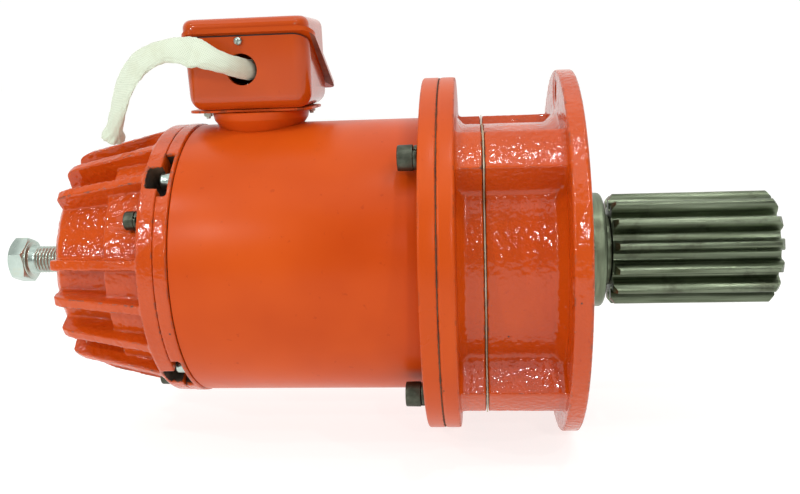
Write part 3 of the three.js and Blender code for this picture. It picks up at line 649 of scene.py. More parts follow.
def make_sleeve():
    line = spline(SLEEVE_ROUTE, 24)
    count, sides = len(line), SLEEVE_SIDES
    steps = [(b - a).length for a, b in zip(line, line[1:])]
    total = sum(steps)
    tangents = [(line[min(i + 1, count - 1)] - line[max(i - 1, 0)]).normalized() for i in range(count)]
    across = tangents[0].cross(Vector((0, 0, 1))).normalized()
    points, faces, marks, loops = [], [], [], []
    for i, tangent in enumerate(tangents):
        t = sum(steps[:i]) / total
        across = (across - tangent * across.dot(tangent)).normalized()
        wide = float(np.interp(t, *zip(*SLEEVE_WIDTHS))) / SLEEVE_DIAMETER
        flat = min(1.0, 1.75 - wide) * (1 - 0.06 * math.sin(11 * t) ** 2) + 0.62 * bell(t, 1.0, 0.035)
        loops.append((line[i], across * flat, tangent.cross(across).normalized() * wide, t))
    outer = SLEEVE_DIAMETER / 2 - 0.35  # leaves room for the creases
    for radius in (outer, outer - SLEEVE_WALL):
        for centre, side, up, t in loops:
            for k in range(sides):
                angle = 2 * math.pi * k / sides
                reach = radius + crease(angle, t)
                points.append(centre + reach * (side * math.cos(angle) + up * math.sin(angle)))
                marks.append((k / sides, t))
    size = count * sides
    for layer in (0, 1):
        for i in range(count - 1):
            for k in range(sides):
                j = (k + 1) % sides
                base = layer * size + i * sides
                quad = [base + k, base + j, base + sides + j, base + sides + k]
                faces.append(quad if layer == 0 else quad[::-1])
    for i in (0, count - 1):
        for k in range(sides):
            j = (k + 1) % sides
            a, b = i * sides + k, i * sides + j
            rim = [a, size + a, size + b, b]
            faces.append(rim if i == 0 else rim[::-1])
    sleeve = object_from("woven_lead_sleeve", points, faces)
    layer = sleeve.data.uv_layers.new(name="braid")
    for polygon in sleeve.data.polygons:
        us = [marks[v][0] for v in polygon.vertices]
        wraps = max(us) - min(us) > 0.5
        for corner, vertex in zip(polygon.loop_indices, polygon.vertices):
            u, v = marks[vertex]
            layer.data[corner].uv = (u + 1 if wraps and u < 0.5 else u, v)
    smooth_shade(sleeve, 60)
    finish_piece(sleeve, "housing", "woven_sleeve", ["lead_sleeve"])


make_sleeve()

# ---- motor body and shields


def make_motor_body():
    back, front = BODY_LOW.x, BODY_HIGH.x
    tube = lathe("motor_body_shell", [
        (back, 69, 0.4), (back, BODY_RADIUS, 0.9), (front, BODY_RADIUS, 0.9), (front, 69, 0.4),
    ], 192)
    smooth_shade(tube)
    finish_piece(tube, "housing", "orange_enamel", ["motor_body"], "orange_enamel_plain")


def window_cutter(name, back, front, half_width, slant):
    """A radial window whose ends lean outwards towards the seam."""
    outline = rounded([
        (back, -half_width, 1.2), (front, -half_width - slant, 0.8),
        (front, half_width + slant, 0.8), (back, half_width, 1.2),
    ])
    return loft(name, [[(x, y, z) for x, z in outline] for y in (61.5, 84)])


WINDOW_TURN = -1.7  # of the rear shield's windows and screws, against the ribs


def in_window(x, radius, angle):
    """True on the bare faces inside the rear cover's windows, with a ragged edge."""
    ragged = 0.35 * np.sin(7 * x) + 0.3 * np.sin(2.9 * angle + x)
    beside = np.abs(angle % 90 - 45) * radius * math.pi / 180
    return (x > -225.2 + ragged) & (radius < 77.3 + ragged) & (beside < 7.6)


def make_rear_shield():
    front = -209.75
    radius = RING_RADIUS + 0.1
    ring = lathe("rear_end_shield_cast", [
        (-217, 23.8), (-217, radius, 0.7), (front, radius, 0.9), (front, 68.7), (-205, 68.7, 0.5),
        (-205, 60), (front + 1, 60), (front + 1, 29.5), (-202.8, 29.5, 0.8), (-202.8, 23.8),
    ], 192)
    angles = [angle + WINDOW_TURN for angle in RIB_ANGLES]
    cut(ring, *around(lambda i: window_cutter(f"window_{i}", -221, -212, 13.2, 0.9), angles))
    cast(ring, 0.75, 2, lambda x, r: np.where(r > 77, 0.10, 0.05), 3.0)
    two_looks(ring, "orange_enamel", "raw_casting", lambda x, r, a: r < 76.6)
    finish_piece(ring, "housing", "orange_enamel", ["rear_end_shield"])


def make_front_shield():
    back, front = SHIELD_LOW.x, SHIELD_HIGH.x
    radius = SHIELD_HIGH.y
    flange = lathe("front_end_shield_cast", [
        (-81.4, 68.7), (-81.4, radius, 1.1), (front, radius, 0.9), (front, 23.8), (-92, 23.8),
        (-92, 15), (back, 15), (back, 29.5, 1), (-84, 29.5), (-84, 60), (-85.8, 60), (-85.8, 68.7, 0.5),
    ], 192)
    cut(flange, *rods("hole", -83, -71, 4.4, FLANGE_SCREW_CIRCLE, RIB_ANGLES))
    smooth_shade(flange, 30)
    finish_piece(flange, "housing", "orange_enamel", ["front_end_shield"], "orange_enamel_smooth")


def make_sealant():
    """Dried jointing compound squeezed out between the two joint flanges."""
    segments = 720
    points, faces = [], []
    for i in range(segments):
        angle = 2 * math.pi * i / segments
        arm = Vector((math.cos(angle), math.sin(angle), 0))
        swell = 99.05 + 0.45 * noise.noise(arm * 34) + 0.3 * noise.noise(arm * 110)
        half = 0.12 + 0.3 * max(0.0, swell - 98.7)
        section = ((-0.1, 96), (-0.1, 98.5), (-half, swell), (half, swell), (0.1, 98.5), (0.1, 96))
        points += [(-72.5 + x, r * arm.x, r * arm.y) for x, r in section]
    for i in range(segments):
        a, b = 6 * i, 6 * ((i + 1) % segments)
        for k in range(6):
            j = (k + 1) % 6
            faces.append((a + k, a + j, b + j, b + k))
    bead = object_from("flange_sealant", points, faces)
    smooth_shade(bead, 60)
    finish_piece(bead, "housing", "gasket_paper", (), "sealant")


make_motor_body()
make_rear_shield()
make_front_shield()
make_sealant()

# ---- rear cover

FIN_PHASE, FIN_COUNT, FIN_THICKNESS = 8.4, 20, 4.6


def fin_shape(name):
    """A fin built along +Y, a little thinner at its crest."""
    outline = rounded([
        (-224, 40), (-224, 76.8), (-226.3, 76.8), (-273.5, 65.4, 4), (-279.4, 62.6, 3.2), (-279.6, 40),
    ], 6)
    def half(height):
        return FIN_THICKNESS / 2 + 0.7 - 0.4 * (height - 40) / 36

    return loft(name, [[(x, y, side * half(y)) for x, y in outline] for side in (-1, 1)])


def make_rear_cover():
    front = -217.15
    shell = lathe("rear_cover_cast", [
        (front, 0), (front, 78), (-226.3, 78, 1.5), (-226.3, 68.5, 1), (-248.6, 65.2, 1.5),
        (-249.8, 57.5, 1.5), (-279, 53, 3), (-282.7, 48.5, 2), (-282.7, 0),
    ], 160)
    angles = [FIN_PHASE + i * 360 / FIN_COUNT for i in range(FIN_COUNT)]
    fin_angles = [a for a in angles if min(abs(a - s) for s in COVER_SCREW_ANGLES) > 5]
    join(shell, *around(lambda i: fin_shape(f"fin_{i}"), fin_angles))
    cavity = lathe("cavity", [
        (front + 1, 0), (front + 1, 60), (-243, 60, 1), (-243, 45, 1), (-274.7, 45, 2), (-274.7, 0),
    ], 96)
    cut(shell, cavity)
    boss = lathe("boss", [(-276, 0), (-276, 16), (-267.7, 16, 1), (-267.7, 0)], 64)
    join(shell, boss)
    thread = rod("thread", -284, -266, 8.4, 64)
    windows = around(lambda i: window_cutter(f"window_{i}", -224.2, -215, 6.6, 0.3), RIB_ANGLES)
    seats = rods("seat", -251, -226.5, 6.2, COVER_SCREW_CIRCLE, COVER_SCREW_ANGLES)
    holes = rods("hole", -230, -214, 3.4, COVER_SCREW_CIRCLE, COVER_SCREW_ANGLES)
    cut(shell, thread, *windows, *seats, *holes)
    cast(shell, 0.75, 2, lambda x, r: np.where(r > 77.2, 0.06, 0.42), 11.0)
    two_looks(shell, "orange_enamel", "raw_casting",
              lambda x, r, a: ((r < 61) & (x > -244)) | ((r < 46) & (x > -276)) | in_window(x, r, a))
    finish_piece(shell, "housing", "orange_enamel", ["rear_cover"])


make_rear_cover()

# ---- gearbox

DRUM_RADIUS, RIB_RADIUS, RIB_HALF_WIDTH, RIB_FILLET = 73.0, 94.0, 11.5, 4.0


def ribbed_outline(offset=0.0):
    """The drum with its four ribs across the shaft, with rounded roots."""
    steps = 40
    inner, outer, half = DRUM_RADIUS + offset, RIB_RADIUS + offset, RIB_HALF_WIDTH + offset
    root = math.asin((half + RIB_FILLET) / inner)
    tip = math.asin(half / outer)
    height = math.sqrt(inner ** 2 - half ** 2)
    points = []
    for degrees in RIB_ANGLES:
        centre = math.radians(degrees)
        along = Vector((math.cos(centre), math.sin(centre)))
        beside = Vector((-math.sin(centre), math.cos(centre)))

        def flank(side):
            start = inner * Vector((math.cos(centre + side * root), math.sin(centre + side * root)))
            corner = along * height + beside * (side * half)
            end = along * (height + RIB_FILLET) + beside * (side * half)
            return [start.lerp(corner, k / 5).lerp(corner.lerp(end, k / 5), k / 5) for k in range(6)]

        points += flank(-1)
        for k in range(9):
            angle = centre - tip + 2 * tip * k / 8
            points.append(outer * Vector((math.cos(angle), math.sin(angle))))
        points += flank(1)[::-1]
        first, last = centre + root, centre + math.pi / 2 - root
        for k in range(1, steps):
            angle = first + (last - first) * k / steps
            points.append(inner * Vector((math.cos(angle), math.sin(angle))))
    return [tuple(p) for p in points]


def make_gearbox_housing():
    back, front = HOUSING_LOW.x, HOUSING_HIGH.x
    radius = HOUSING_HIGH.y
    flange = lathe("gearbox_housing_cast", [
        (-9.2, 0), (-9.2, radius, 1.2), (front, radius, 1.0), (front, 0),
    ], 192)
    collar = lathe("collar", [(-14.5, 0), (-14.5, DRUM_RADIUS), (-8.8, DRUM_RADIUS + 5.5), (-8.8, 0)], 160)
    join(flange, prism("ribs", ribbed_outline(), back, -8.5), collar)
    bore = rod("bore", -34.7, 1, 34.6, 96)
    shoulder = rod("shoulder", -37, -34, 29, 96)
    cavity = lathe("cavity", [(back - 1, 0), (back - 1, 67.2), (-36.4, 67.2, 1.5), (-36.4, 0)], 128)
    holes = rods("hole", -12, 1, 5.5, MOUNTING_HOLE_CIRCLE, HOLE_ANGLES)
    spots = rods("spot", -20, -8.6, 10.5, MOUNTING_HOLE_CIRCLE, HOLE_ANGLES)
    cut(flange, bore, shoulder, cavity, *holes, *spots)
    cast(flange, 0.9, 3, lambda x, r: np.where((x > -0.4) | (x < -48.6), 0.0, 0.26), 21.0)
    two_looks(flange, "orange_enamel", "raw_casting", lambda x, r, a: (r < 68) & (x < -1))
    finish_piece(flange, "housing", "orange_enamel", ["gearbox_housing"])


def make_gearbox_cover():
    back, front = GEAR_COVER_LOW.x, GEAR_COVER_HIGH.x
    radius = GEAR_COVER_HIGH.y
    flange = lathe("gearbox_cover_cast", [
        (back, 0), (back, radius, 0.9), (-63.5, radius, 1.1), (-63.5, 0),
    ], 192)
    collar = lathe("collar", [(-64, 0), (-64, DRUM_RADIUS + 5), (-59.5, DRUM_RADIUS), (-59.5, 0)], 160)
    join(flange, prism("ribs", ribbed_outline(), -64.5, front), collar)
    cavity = lathe("cavity", [(-66.5, 0), (-66.5, 67.2, 1.5), (front + 1, 67.2), (front + 1, 0)], 128)
    cut(flange, cavity, rod("bore", -75, -60, 19, 64))
    cast(flange, 0.9, 3, lambda x, r: np.where((r < 92) & (x > -62), 0.26, 0.03), 31.0)
    two_looks(flange, "orange_enamel", "orange_enamel_smooth",
              lambda x, r, a: (r > 94.5) | (x < -62.8))
    finish_piece(flange, "housing", "orange_enamel", ["gearbox_cover"])


def make_gasket():
    outline = ribbed_outline(0.25)
    wavy = []
    for i, (y, z) in enumerate(outline):
        swell = 1 + 0.0022 * noise.noise(Vector((i * 0.31, 4.0, 0)))
        wavy.append((y * swell, z * swell))
    gasket = prism("gearbox_gasket_sheet", wavy, -49.7, -49.1)
    cut(gasket, rod("hole", -51, -48, 67.4, 128))
    smooth_shade(gasket, 30)
    finish_piece(gasket, "housing", "gasket_paper", ["gearbox_gasket"])


make_gearbox_housing()
make_gearbox_cover()
make_gasket()

# ---- output side


def make_bearing_cap():
    cap = lathe("output_bearing_cap_turned", [
        (-4.7, 21.5, 0.4), (-4.7, 34, 0.6), (-0.3, 34, 0.2), (-0.3, 32.4, 0.2), (CAP_FACE, 32.4, 2.4),
        (CAP_FACE, 27.7, 0.5), (8.4, 27.7), (8.4, 21.5),
    ], 160, 6)
    smooth_shade(cap)
    finish_piece(cap, "housing", "oiled_dark_steel", ["output_bearing_cap"], "turned_dark_steel")


def make_oil_seal():
    seal = lathe("output_oil_seal_lip", [
        (8.8, 20.4, 0.3), (8.8, 27.5, 0.4), (15.8, 27.5, 0.6), (15.8, 24.5, 0.4), (14.2, 23.2, 0.6),
        (14.8, 21.4, 0.3), (12.6, 20.4, 0.3),
    ], 96)
    smooth_shade(seal)
    finish_piece(seal, "housing", "seal_rubber", ["output_oil_seal"])


def make_output_shaft():
    neck = PINION_LOW.x - 0.3
    bar = lathe("output_shaft_turned", [
        (-45.8, 0), (-45.8, 16, 0.8), (-35.4, 16, 0.4), (-35.4, 20, 0.8), (neck, 20, 0.3), (neck, 16, 0.3),
        (104.4, 16, 0.2), (104.4, 14.8), (106.2, 14.8), (106.2, 16, 0.2), (108, 16, 1.0), (108, 2.6, 0.2),
        (104.5, 1.2, 0.2), (103.8, 0),
    ], 128)
    cut(bar, block("keyway", (29, -5.2, 12.2), (91, 5.2, 22)))
    smooth_shade(bar, 30)
    finish_piece(bar, "output", "oiled_dark_steel", ["output_shaft"], "turned_dark_steel")


TEETH, PINION_MODULE, PINION_PHASE = 14, 4.0, 10.9
PINION_ROOT, PINION_TIP, TOOTH_THINNING = 22.9, 31.6, 0.2
PRESSURE_ANGLE = math.radians(20)


def half_tooth(radius):
    """Half the angle of an involute tooth at a radius."""
    pitch = PINION_MODULE * TEETH / 2
    base = pitch * math.cos(PRESSURE_ANGLE)
    pressure = math.acos(min(1, base / max(radius, base)))
    growth = (math.tan(PRESSURE_ANGLE) - PRESSURE_ANGLE) - (math.tan(pressure) - pressure)
    return math.pi / (2 * TEETH) - TOOTH_THINNING / pitch + growth


def pinion_outline():
    """Points (y, z) of the whole pinion: rounded roots, involute flanks and broken tips."""
    step = 2 * math.pi / TEETH
    root_half, tip_half = half_tooth(PINION_ROOT), half_tooth(PINION_TIP)
    gap = step / 2 - root_half
    flank = []
    for k in range(5):
        blend = k / 5
        flank.append((PINION_ROOT + 1.6 * blend ** 2.2, root_half + gap * 0.75 * (1 - blend) ** 1.8))
    for k in range(9):
        radius = PINION_ROOT + 1.6 + (PINION_TIP - 0.35 - PINION_ROOT - 1.6) * k / 8
        flank.append((radius, half_tooth(radius)))
    flank += [(PINION_TIP - 0.08, tip_half - 0.006), (PINION_TIP, tip_half - 0.016)]
    points = []
    for tooth in range(TEETH):
        centre = math.radians(PINION_PHASE) + tooth * step
        around_tooth = [(r, centre - half) for r, half in flank]
        around_tooth += [(r, centre + half) for r, half in reversed(flank)]
        points += [(r * math.cos(angle), r * math.sin(angle)) for r, angle in around_tooth]
    return points


def make_pinion():
    start, end = PINION_LOW.x, PINION_HIGH.x
    pinion = prism("drive_pinion_cut", pinion_outline(), start, end)
    envelope = lathe("envelope", [
        (start, 0), (start, 28.7, 0.4), (start + 2.8, 32.0), (end - 2.8, 32.0), (end, 28.7, 0.4), (end, 0),
    ], 168)
    combine(pinion, [envelope], "INTERSECT")
    bore = rod("bore", start - 1, end + 1, 16.3, 96)
    recess = lathe("recess", [(104, 0), (104, 19.2, 0.8), (end + 1, 19.2), (end + 1, 0)], 96)
    cut(pinion, bore, recess, block("keyway", (start - 1, -5.2, 10), (end + 1, 5.2, 19.4)))
    smooth_shade(pinion, 32)
    finish_piece(pinion, "output", "oiled_dark_steel", ["drive_pinion"])


def make_circlip():
    hoop = lathe("pinion_circlip_ring", [
        (104.7, 15.1, 0.15), (104.7, 18.4, 0.2), (105.9, 18.4, 0.2), (105.9, 15.1, 0.15),
    ], 96)
    ear = [(104.7, 0), (104.7, 1.7, 0.2), (105.9, 1.7, 0.2), (105.9, 0)]
    cut(hoop, block("slot", (104, -2.4, -21), (107, 2.4, -12)))
    join(hoop, *[shift(lathe("ear", ear, 24), y=y, z=-16.2) for y in (-3.6, 3.6)])
    cut(hoop, *[shift(rod("eye", 104, 107, 0.75, 20), y=y, z=-16.2) for y in (-3.6, 3.6)])
    smooth_shade(hoop, 30)
    finish_piece(hoop, "output", "black_fastener", ["pinion_circlip"])


make_bearing_cap()
make_oil_seal()
make_output_shaft()
make_pinion()
make_circlip()

# ---- fasteners


def hexagon(across_flats, phase=0.0):
    corner = across_flats / math.sqrt(3)
    angles = [math.radians(phase + 60 * i) for i in range(6)]
    return [(corner * math.cos(angle), corner * math.sin(angle)) for angle in angles]


def threaded_rod(name, back, front, radius, pitch, depth):
    """A rod along the shaft axis with a real helical thread, its ends closed."""
    segments, per_pitch = 72, 10
    count = int((front - back) / pitch * per_pitch)
    points = [(back, 0, 0)]
    for i in range(count + 1):
        x = back + (front - back) * i / count
        for k in range(segments):
            turn = (x / pitch + k / segments) % 1.0
            groove = min(1.0, max(0.0, 1.25 - 2.5 * abs(turn - 0.5) - 0.06))
            fade = min(1.0, (x - back) / 2.4, (front - x) / 0.8)
            r = radius - depth * groove * max(0.0, fade)
            angle = 2 * math.pi * k / segments
            points.append((x, r * math.cos(angle), r * math.sin(angle)))
    points.append((front, 0, 0))
    last = len(points) - 1
    faces = []
    for k in range(segments):
        j = (k + 1) % segments
        faces.append((0, 1 + k, 1 + j))
        for i in range(count):
            base = 1 + i * segments
            faces.append((base + k, base + segments + k, base + segments + j, base + j))
        top = 1 + count * segments
        faces.append((last, top + j, top + k))
    return object_from(name, points, faces)


def make_adjusting_bolt():
    back, front = BOLT_LOW.x, BOLT_HIGH.x
    face, across_flats = -321.6, 24
    head = prism("adjusting_bolt_head", hexagon(across_flats, 35), back, face)
    corner = across_flats / math.sqrt(3)
    crown = lathe("crown", [
        (back - 0.1, 0), (back - 0.1, 11.0), (back + 1.9, corner + 0.25), (face - 1.3, corner + 0.25),
        (face + 0.1, 11.6), (face + 0.1, 0),
    ], 120)
    combine(head, [crown], "INTERSECT")
    dish = lathe("dish", [(back - 1, 0), (back - 1, 9.4), (back + 0.35, 8.8, 0.3), (back + 0.35, 0)], 96)
    cut(head, dish)
    collar = lathe("collar", [
        (face - 0.5, 0), (face - 0.5, 11.2), (face + 0.7, 11.2, 0.25), (face + 0.7, 8.6, 0.8),
        (face + 3.4, 7.9, 0.8), (face + 5, 7.9), (face + 5, 0),
    ], 120)
    join(head, collar)
    bevel(head, 0.25, 2, 40)
    smooth_shade(head, 32)
    finish_piece(head, "adjusting_bolt", "zinc_steel", ["adjusting_bolt"])
    stem = threaded_rod("adjusting_bolt_thread", face + 3.2, front, 8.0, 2.0, 1.0)
    smooth_shade(stem, 40)
    finish_piece(stem, "adjusting_bolt", "zinc_steel")


def knurled_head(name, back, front, radius, shank, tip, socket):
    """A socket cap screw along the shaft: knurled head, hexagon socket, plain shank."""
    head = lathe(name, [
        (back, 0), (back, radius, 0.7), (front, radius, 0.3), (front, shank, 0.2), (tip, shank, 0.8),
        (tip, 0),
    ], 96)
    for vertex in head.data.vertices:
        x, y, z = vertex.co / MM
        r = math.hypot(y, z)
        if r > radius - 0.2 and back + 0.9 < x < front:
            ripple = 1 + 0.012 * math.cos(48 * math.atan2(z, y))
            vertex.co.y *= ripple
            vertex.co.z *= ripple
    depth = (front - back) * 0.55
    cut(head, prism("socket", hexagon(socket), back - 1, back + depth))
    smooth_shade(head, 32)
    return head


def spring_washer(name, back, front, outer, inner):
    """A split ring whose two ends stand a little apart along the shaft."""
    steps, rise = 72, 0.5
    corners = ((back, inner), (back, outer), (front, outer), (front, inner))
    sections = []
    for i in range(steps + 1):
        angle = math.radians(4 + 352 * i / steps)
        lift = rise * (i / steps - 0.5)
        sections.append([(x + lift, r * math.cos(angle), r * math.sin(angle)) for x, r in corners])
    washer = loft(name, sections)
    bevel(washer, 0.15, 2, 40)
    return smooth_shade(washer, 35)


def make_cap_screws(family, angles, circle, screw_sizes, washer_sizes):
    """Socket cap screws and their spring washers, centred on a circle about the shaft."""
    for i, angle in enumerate(angles, 1):
        screw = knurled_head(f"{family}_screw_body_{i}", *screw_sizes)
        turn_about_shaft(shift(screw, y=circle), angle)
        finish_piece(screw, "housing", "black_fastener", [f"{family}_screw_{i}"])
        washer = spring_washer(f"{family}_spring_washer_{i}", *washer_sizes)
        turn_about_shaft(shift(washer, y=circle), angle)
        finish_piece(washer, "housing", "black_fastener")


def make_shield_screws():
    """Bright round-headed screws in the windows, which hold the rear shield to the body."""
    for i, angle in enumerate(RIB_ANGLES):
        screw = lathe(f"shield_screw_{i + 1}", [
            (-218.3, 0), (-218.3, 4.1, 1.5), (-212.2, 4.1, 0.2), (-212.2, 2.4), (-204, 2.4, 0.4), (-204, 0),
        ], 64)
        turn_about_shaft(shift(screw, y=SHIELD_SCREW_CIRCLE), angle + WINDOW_TURN)
        smooth_shade(screw)
        finish_piece(screw, "housing", "zinc_steel")


make_adjusting_bolt()
make_cap_screws("flange", RIB_ANGLES, FLANGE_SCREW_CIRCLE,
                (-91.9, -84.0, 6.5, 3.9, -65, 6.4), (-83.7, -81.8, 6.2, 4.1))
make_cap_screws("cover", COVER_SCREW_ANGLES, COVER_SCREW_CIRCLE,
                (-234.4, -229.0, 4.95, 2.9, -213.8, 5.2), (-228.8, -227.3, 4.8, 3.1))
make_shield_screws()

# ---- terminal box

BOX_X = -174.3
BOX_HALF_WIDTH, BOX_HALF_DEPTH, BOX_CORNER, BOX_WALL = 34.3, 29.3, 8.5, 2.6
BOX_FLOOR, BOX_INNER_FLOOR, BOX_TOP = 86.8, 90.3, 134.8
BOTTOM_ROUND, TOP_ROUND = 7.5, 4.5
SPLIT_HEIGHT, SPLIT_SLOPE = 111.7, -0.5
BOX_DRAFT, LID_LEAN = 0.0006, 0.15
LIP_LEFT, LIP_RIGHT, LIP_FRONT, LIP_BACK, LIP_THICKNESS = 0.6, 3.4, 1.5, 3.4, 2.1
RIM_HEIGHT = SPLIT_HEIGHT - SPLIT_SLOPE * BOX_HALF_DEPTH
LEAN_FOOT = SPLIT_HEIGHT + SPLIT_SLOPE * BOX_HALF_DEPTH


def rounded_rectangle(half_width, half_depth, corner, steps=8, front_corner=None):
    points = []
    for right, back, start in ((1, -1, -90), (1, 1, 0), (-1, 1, 90), (-1, -1, 180)):
        radius = front_corner if front_corner and back < 0 else corner
        x, y = right * (half_width - radius), back * (half_depth - radius)
        for k in range(steps + 1):
            angle = math.radians(start + 90 * k / steps)
            points.append((x + radius * math.cos(angle), y + radius * math.sin(angle)))
    return points


def stack(name, sections, lean=0.0):
    """An upright solid through rounded rectangles given as (height, inset)."""
    rings = []
    for height, inset in sections:
        scale = 1 - BOX_DRAFT * max(0.0, RIM_HEIGHT - height)
        rise = lean * max(0.0, height - LEAN_FOOT)
        corner = max(1.5, BOX_CORNER - inset)
        ring = []
        for x, y in rounded_rectangle(BOX_HALF_WIDTH - inset, BOX_HALF_DEPTH - inset, corner):
            back = (y + BOX_HALF_DEPTH) / (2 * BOX_HALF_DEPTH)
            ring.append((BOX_X + x * scale, y * scale - rise * back, height))
        rings.append(ring)
    return loft(name, rings, rising=True)


def edge_sections(height, radius, upward):
    """Heights and insets of a rounded lower or upper edge."""
    result, steps = [], 6
    for k in range(steps + 1):
        angle = math.radians(90 * k / steps)
        inset = radius * (1 - math.sin(angle))
        offset = radius * (1 - math.cos(angle))
        result.append((height + offset if upward else height - offset, inset))
    return result if upward else result[::-1]


def slanted_prism(name, outline, low, high):
    """An upright outline between two heights above the slanted joint plane."""
    steep = math.hypot(1, SPLIT_SLOPE)
    rings = [[(BOX_X + x, y, SPLIT_HEIGHT + SPLIT_SLOPE * y + offset * steep) for x, y in outline]
             for offset in (low, high)]
    return loft(name, rings, rising=True)


def slanted_slab(low, high):
    return slanted_prism("slab", [(-80, -80), (80, -80), (80, 80), (-80, 80)], low, high)


STRAIGHT = ((LEAN_FOOT, 0), (RIM_HEIGHT, 0))


def lead_way(top):
    """The hole for the leads through the plate and the box's floor."""
    return upright(rod("way", 80, top, 9, 96), BOX_X, 0, 0)


def make_terminal_box():
    lower_edge = edge_sections(BOX_FLOOR, BOTTOM_ROUND, True)
    shell = stack("terminal_box_body", [*lower_edge, *STRAIGHT, (150, 0)])
    combine(shell, [slanted_slab(-80, -1)], "INTERSECT")
    hole = rod("hole", -10, 10, 8.3, 64)
    hole.data.transform(Matrix.Rotation(math.radians(90), 4, "Z"))
    shift(hole, -176.4, -BOX_HALF_DEPTH, 108)
    cut(shell, stack("inside", [(BOX_INNER_FLOOR, BOX_WALL), (150, BOX_WALL)]), hole, lead_way(95))
    bevel(shell, 0.4, 2, 50)
    smooth_shade(shell, 35)
    flatten_shading(shell)
    # the box's gloss enamel is darker than the rest of the paint as painted shade
    finish_piece(shell, "housing", "orange_enamel", ["terminal_box"], "orange_enamel_gloss_painted_shade")


def make_lid():
    shell = stack("terminal_box_lid_pressed", [
        (60, 0), *STRAIGHT, *edge_sections(BOX_TOP, TOP_ROUND, False),
    ], LID_LEAN)
    combine(shell, [slanted_slab(0, 80)], "INTERSECT")
    half_width = BOX_HALF_WIDTH + (LIP_LEFT + LIP_RIGHT) / 2
    half_depth = BOX_HALF_DEPTH + (LIP_FRONT + LIP_BACK) / 2
    outline = [(x + (LIP_RIGHT - LIP_LEFT) / 2, y + (LIP_BACK - LIP_FRONT) / 2)
               for x, y in rounded_rectangle(half_width, half_depth, 3, 8, 8)]
    join(shell, slanted_prism("lip", outline, 0, LIP_THICKNESS))
    heights = (60, LEAN_FOOT, BOX_TOP - BOX_WALL)
    cut(shell, stack("inside", [(height, BOX_WALL) for height in heights], LID_LEAN))
    bevel(shell, 0.6, 3, 50)
    smooth_shade(shell, 40)
    flatten_shading(shell)
    shell.data.materials.clear()
    for look in ("orange_enamel_gloss_painted_shade", "lip_underside_painted_shade"):
        shell.data.materials.append(materials[look])
    # Faces of the lip that face down, at its sides and back, get the dark brown: painted shade under the
    # lip
    below = Vector((0, SPLIT_SLOPE, -1)).normalized()
    for polygon in shell.data.polygons:
        beside = abs(polygon.center.x / MM - BOX_X) > BOX_HALF_WIDTH or polygon.center.y > 0
        polygon.material_index = int(beside and polygon.normal.dot(below) > 0.9)
    finish_piece(shell, "housing", "orange_enamel", ["terminal_box_lid"])


def make_pedestal():
    bowl = upright(lathe("box_pedestal_cast", [
        (60, 8.2), (60, 20.5), (72, 20.5, 2), (76, 23.2, 1.5), (80.5, 26.4, 2), (84.9, 27.4, 0.8),
        (84.9, 8.2),
    ], 96), BOX_X, 0, 0)
    cut(bowl, rod("body", -230, -120, BODY_RADIUS + 0.1, 192))
    smooth_shade(bowl, 35)
    finish_piece(bowl, "housing", "orange_enamel", ["box_pedestal"], "orange_enamel_plain")


def make_plate():
    low, high = PLATE_LOW, PLATE_HIGH
    outline = rounded_rectangle((high.x - low.x) / 2, (high.y - low.y) / 2, 10, 10)
    middle = (high.x + low.x) / 2
    sections = [[(middle + x, y, z) for x, y in outline] for z in (low.z, high.z)]
    plate = loft("box_plate_sheet", sections, rising=True)
    cut(plate, lead_way(90))
    bevel(plate, 0.25, 2, 50)
    smooth_shade(plate)
    finish_piece(plate, "housing", "zinc_steel", ["box_plate"], "orange_enamel_smooth")


def make_small_screws():
    """Nuts under the plate that hold the box, and the screw in its front wall."""
    for i, (x, y) in enumerate(((-202.3, -10), (-153, -10), (-148, 14), (-200, 14))):
        head = prism(f"plate_nut_{i + 1}", hexagon(4.2), 0, 2.2)
        crown = lathe("crown", [(-0.1, 0), (-0.1, 2.0), (0.4, 2.5), (1.8, 2.5), (2.3, 2.0), (2.3, 0)], 48)
        combine(head, [crown], "INTERSECT")
        join(head, lathe("end", [(-1.2, 0), (-1.2, 1.2, 0.3), (1.5, 1.2), (1.5, 0)], 32))
        upright(head, x, y, PLATE_LOW.z - 2.3)
        smooth_shade(head, 32)
        finish_piece(head, "housing", "zinc_steel")
    low, high = span("lid_screw")
    screw = lathe("lid_screw_pan", [
        (-3, 0), (-3, 1.4), (0.2, 1.4), (0.2, 2.2, 0.4), (1.5, 2.1, 0.6), (2.2, 1.0, 0.4), (2.3, 0),
    ], 48)
    cut(screw, block("slot", (1.5, -0.3, -3), (3, 0.3, 3)))
    screw.data.transform(Matrix.Rotation(math.radians(-90), 4, "Z"))
    shift(screw, (low.x + high.x) / 2, -BOX_HALF_DEPTH + 0.1, (low.z + high.z) / 2)
    smooth_shade(screw, 32)
    finish_piece(screw, "housing", "zinc_steel", ["lid_screw"])


make_terminal_box()
make_lid()
make_pedestal()
make_plate()
make_small_screws()

# ---- studio


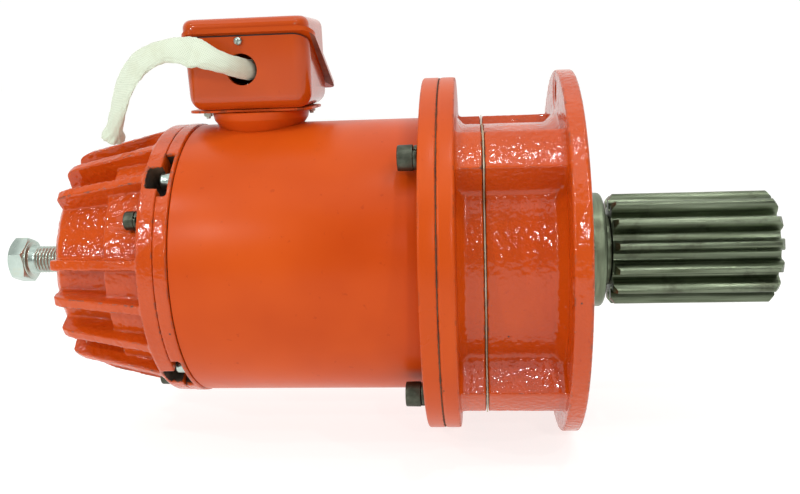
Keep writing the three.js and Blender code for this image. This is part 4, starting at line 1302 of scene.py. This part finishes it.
MIDDLE = (-0.1, 0, 0.02)  # what every lamp is aimed at, in metres
SOFT_LIGHTS = (
    ("key", (-0.25, -0.8, 1.4), (1.5, 0.8), 4.4),
    ("top", (-0.1, 0.25, 1.5), (2.0, 1.2), 4.5),
)
SMALL_LAMPS = ((0.14, -0.78, 0.34), (0.36, -0.6, 0.66), (0.02, -0.3, 0.95), (0.30, -0.2, 0.9),
               (-0.5, -0.62, 0.4), (-0.74, -0.6, 0.24), (-0.66, -0.4, 0.62))
LAMP_SIZE, LAMP_POWER = (0.02, 0.02), 0.85
SKY_DARK, SKY_BRIGHT = 0.20, 1.02
FLOOR_COLOUR, FLOOR_GLOW = (0.35, 0.35, 0.345), 0.78


def area_light(name, place, size, power):
    data = bpy.data.lights.new(name, "AREA")
    data.shape = "RECTANGLE"
    data.size, data.size_y = size
    data.energy = power
    light = bpy.data.objects.new(name, data)
    scene.collection.objects.link(light)
    light.location = place
    light.rotation_euler = (Vector(MIDDLE) - Vector(place)).to_track_quat("-Z", "Y").to_euler()


def make_world():
    """White behind the object, grey on the camera's side."""
    world = bpy.data.worlds.new("studio")
    world.use_nodes = True
    tree = world.node_tree
    direction = tree.nodes.new("ShaderNodeTexCoord").outputs["Generated"]
    split = tree.nodes.new("ShaderNodeSeparateXYZ")
    tree.links.new(direction, split.inputs["Vector"])
    ramp = tree.nodes.new("ShaderNodeMapRange")
    limits = {"From Min": -0.3, "From Max": 0.6, "To Min": SKY_DARK, "To Max": SKY_BRIGHT}
    for limit, value in limits.items():
        ramp.inputs[limit].default_value = value
    tree.links.new(split.outputs["Y"], ramp.inputs["Value"])
    background = tree.nodes["Background"]
    background.inputs["Color"].default_value = (1.0, 1.0, 0.985, 1)
    tree.links.new(ramp.outputs["Result"], background.inputs["Strength"])
    scene.world = world


def make_studio():
    make_world()
    floor_level = cad_box[0][2] - 0.001
    corners = [(-9, -9, floor_level), (9, -9, floor_level), (9, 12, floor_level), (-9, 12, floor_level)]
    mesh = bpy.data.meshes.new("floor")
    mesh.from_pydata(corners, [], [(0, 1, 2, 3)])
    floor = link("floor", mesh)
    s = Shader("floor_paper")
    s.set(Base_Color=FLOOR_COLOUR, Roughness=0.9,
          Emission_Color=(1.0, 1.0, 0.99), Emission_Strength=FLOOR_GLOW)
    mesh.materials.append(s.material)
    for name, place, size, power in SOFT_LIGHTS:
        area_light(name, place, size, power)
    for i, place in enumerate(SMALL_LAMPS, 1):
        area_light(f"lamp_{i}", place, LAMP_SIZE, LAMP_POWER)
    scene.view_settings.view_transform = "Standard"


make_studio()

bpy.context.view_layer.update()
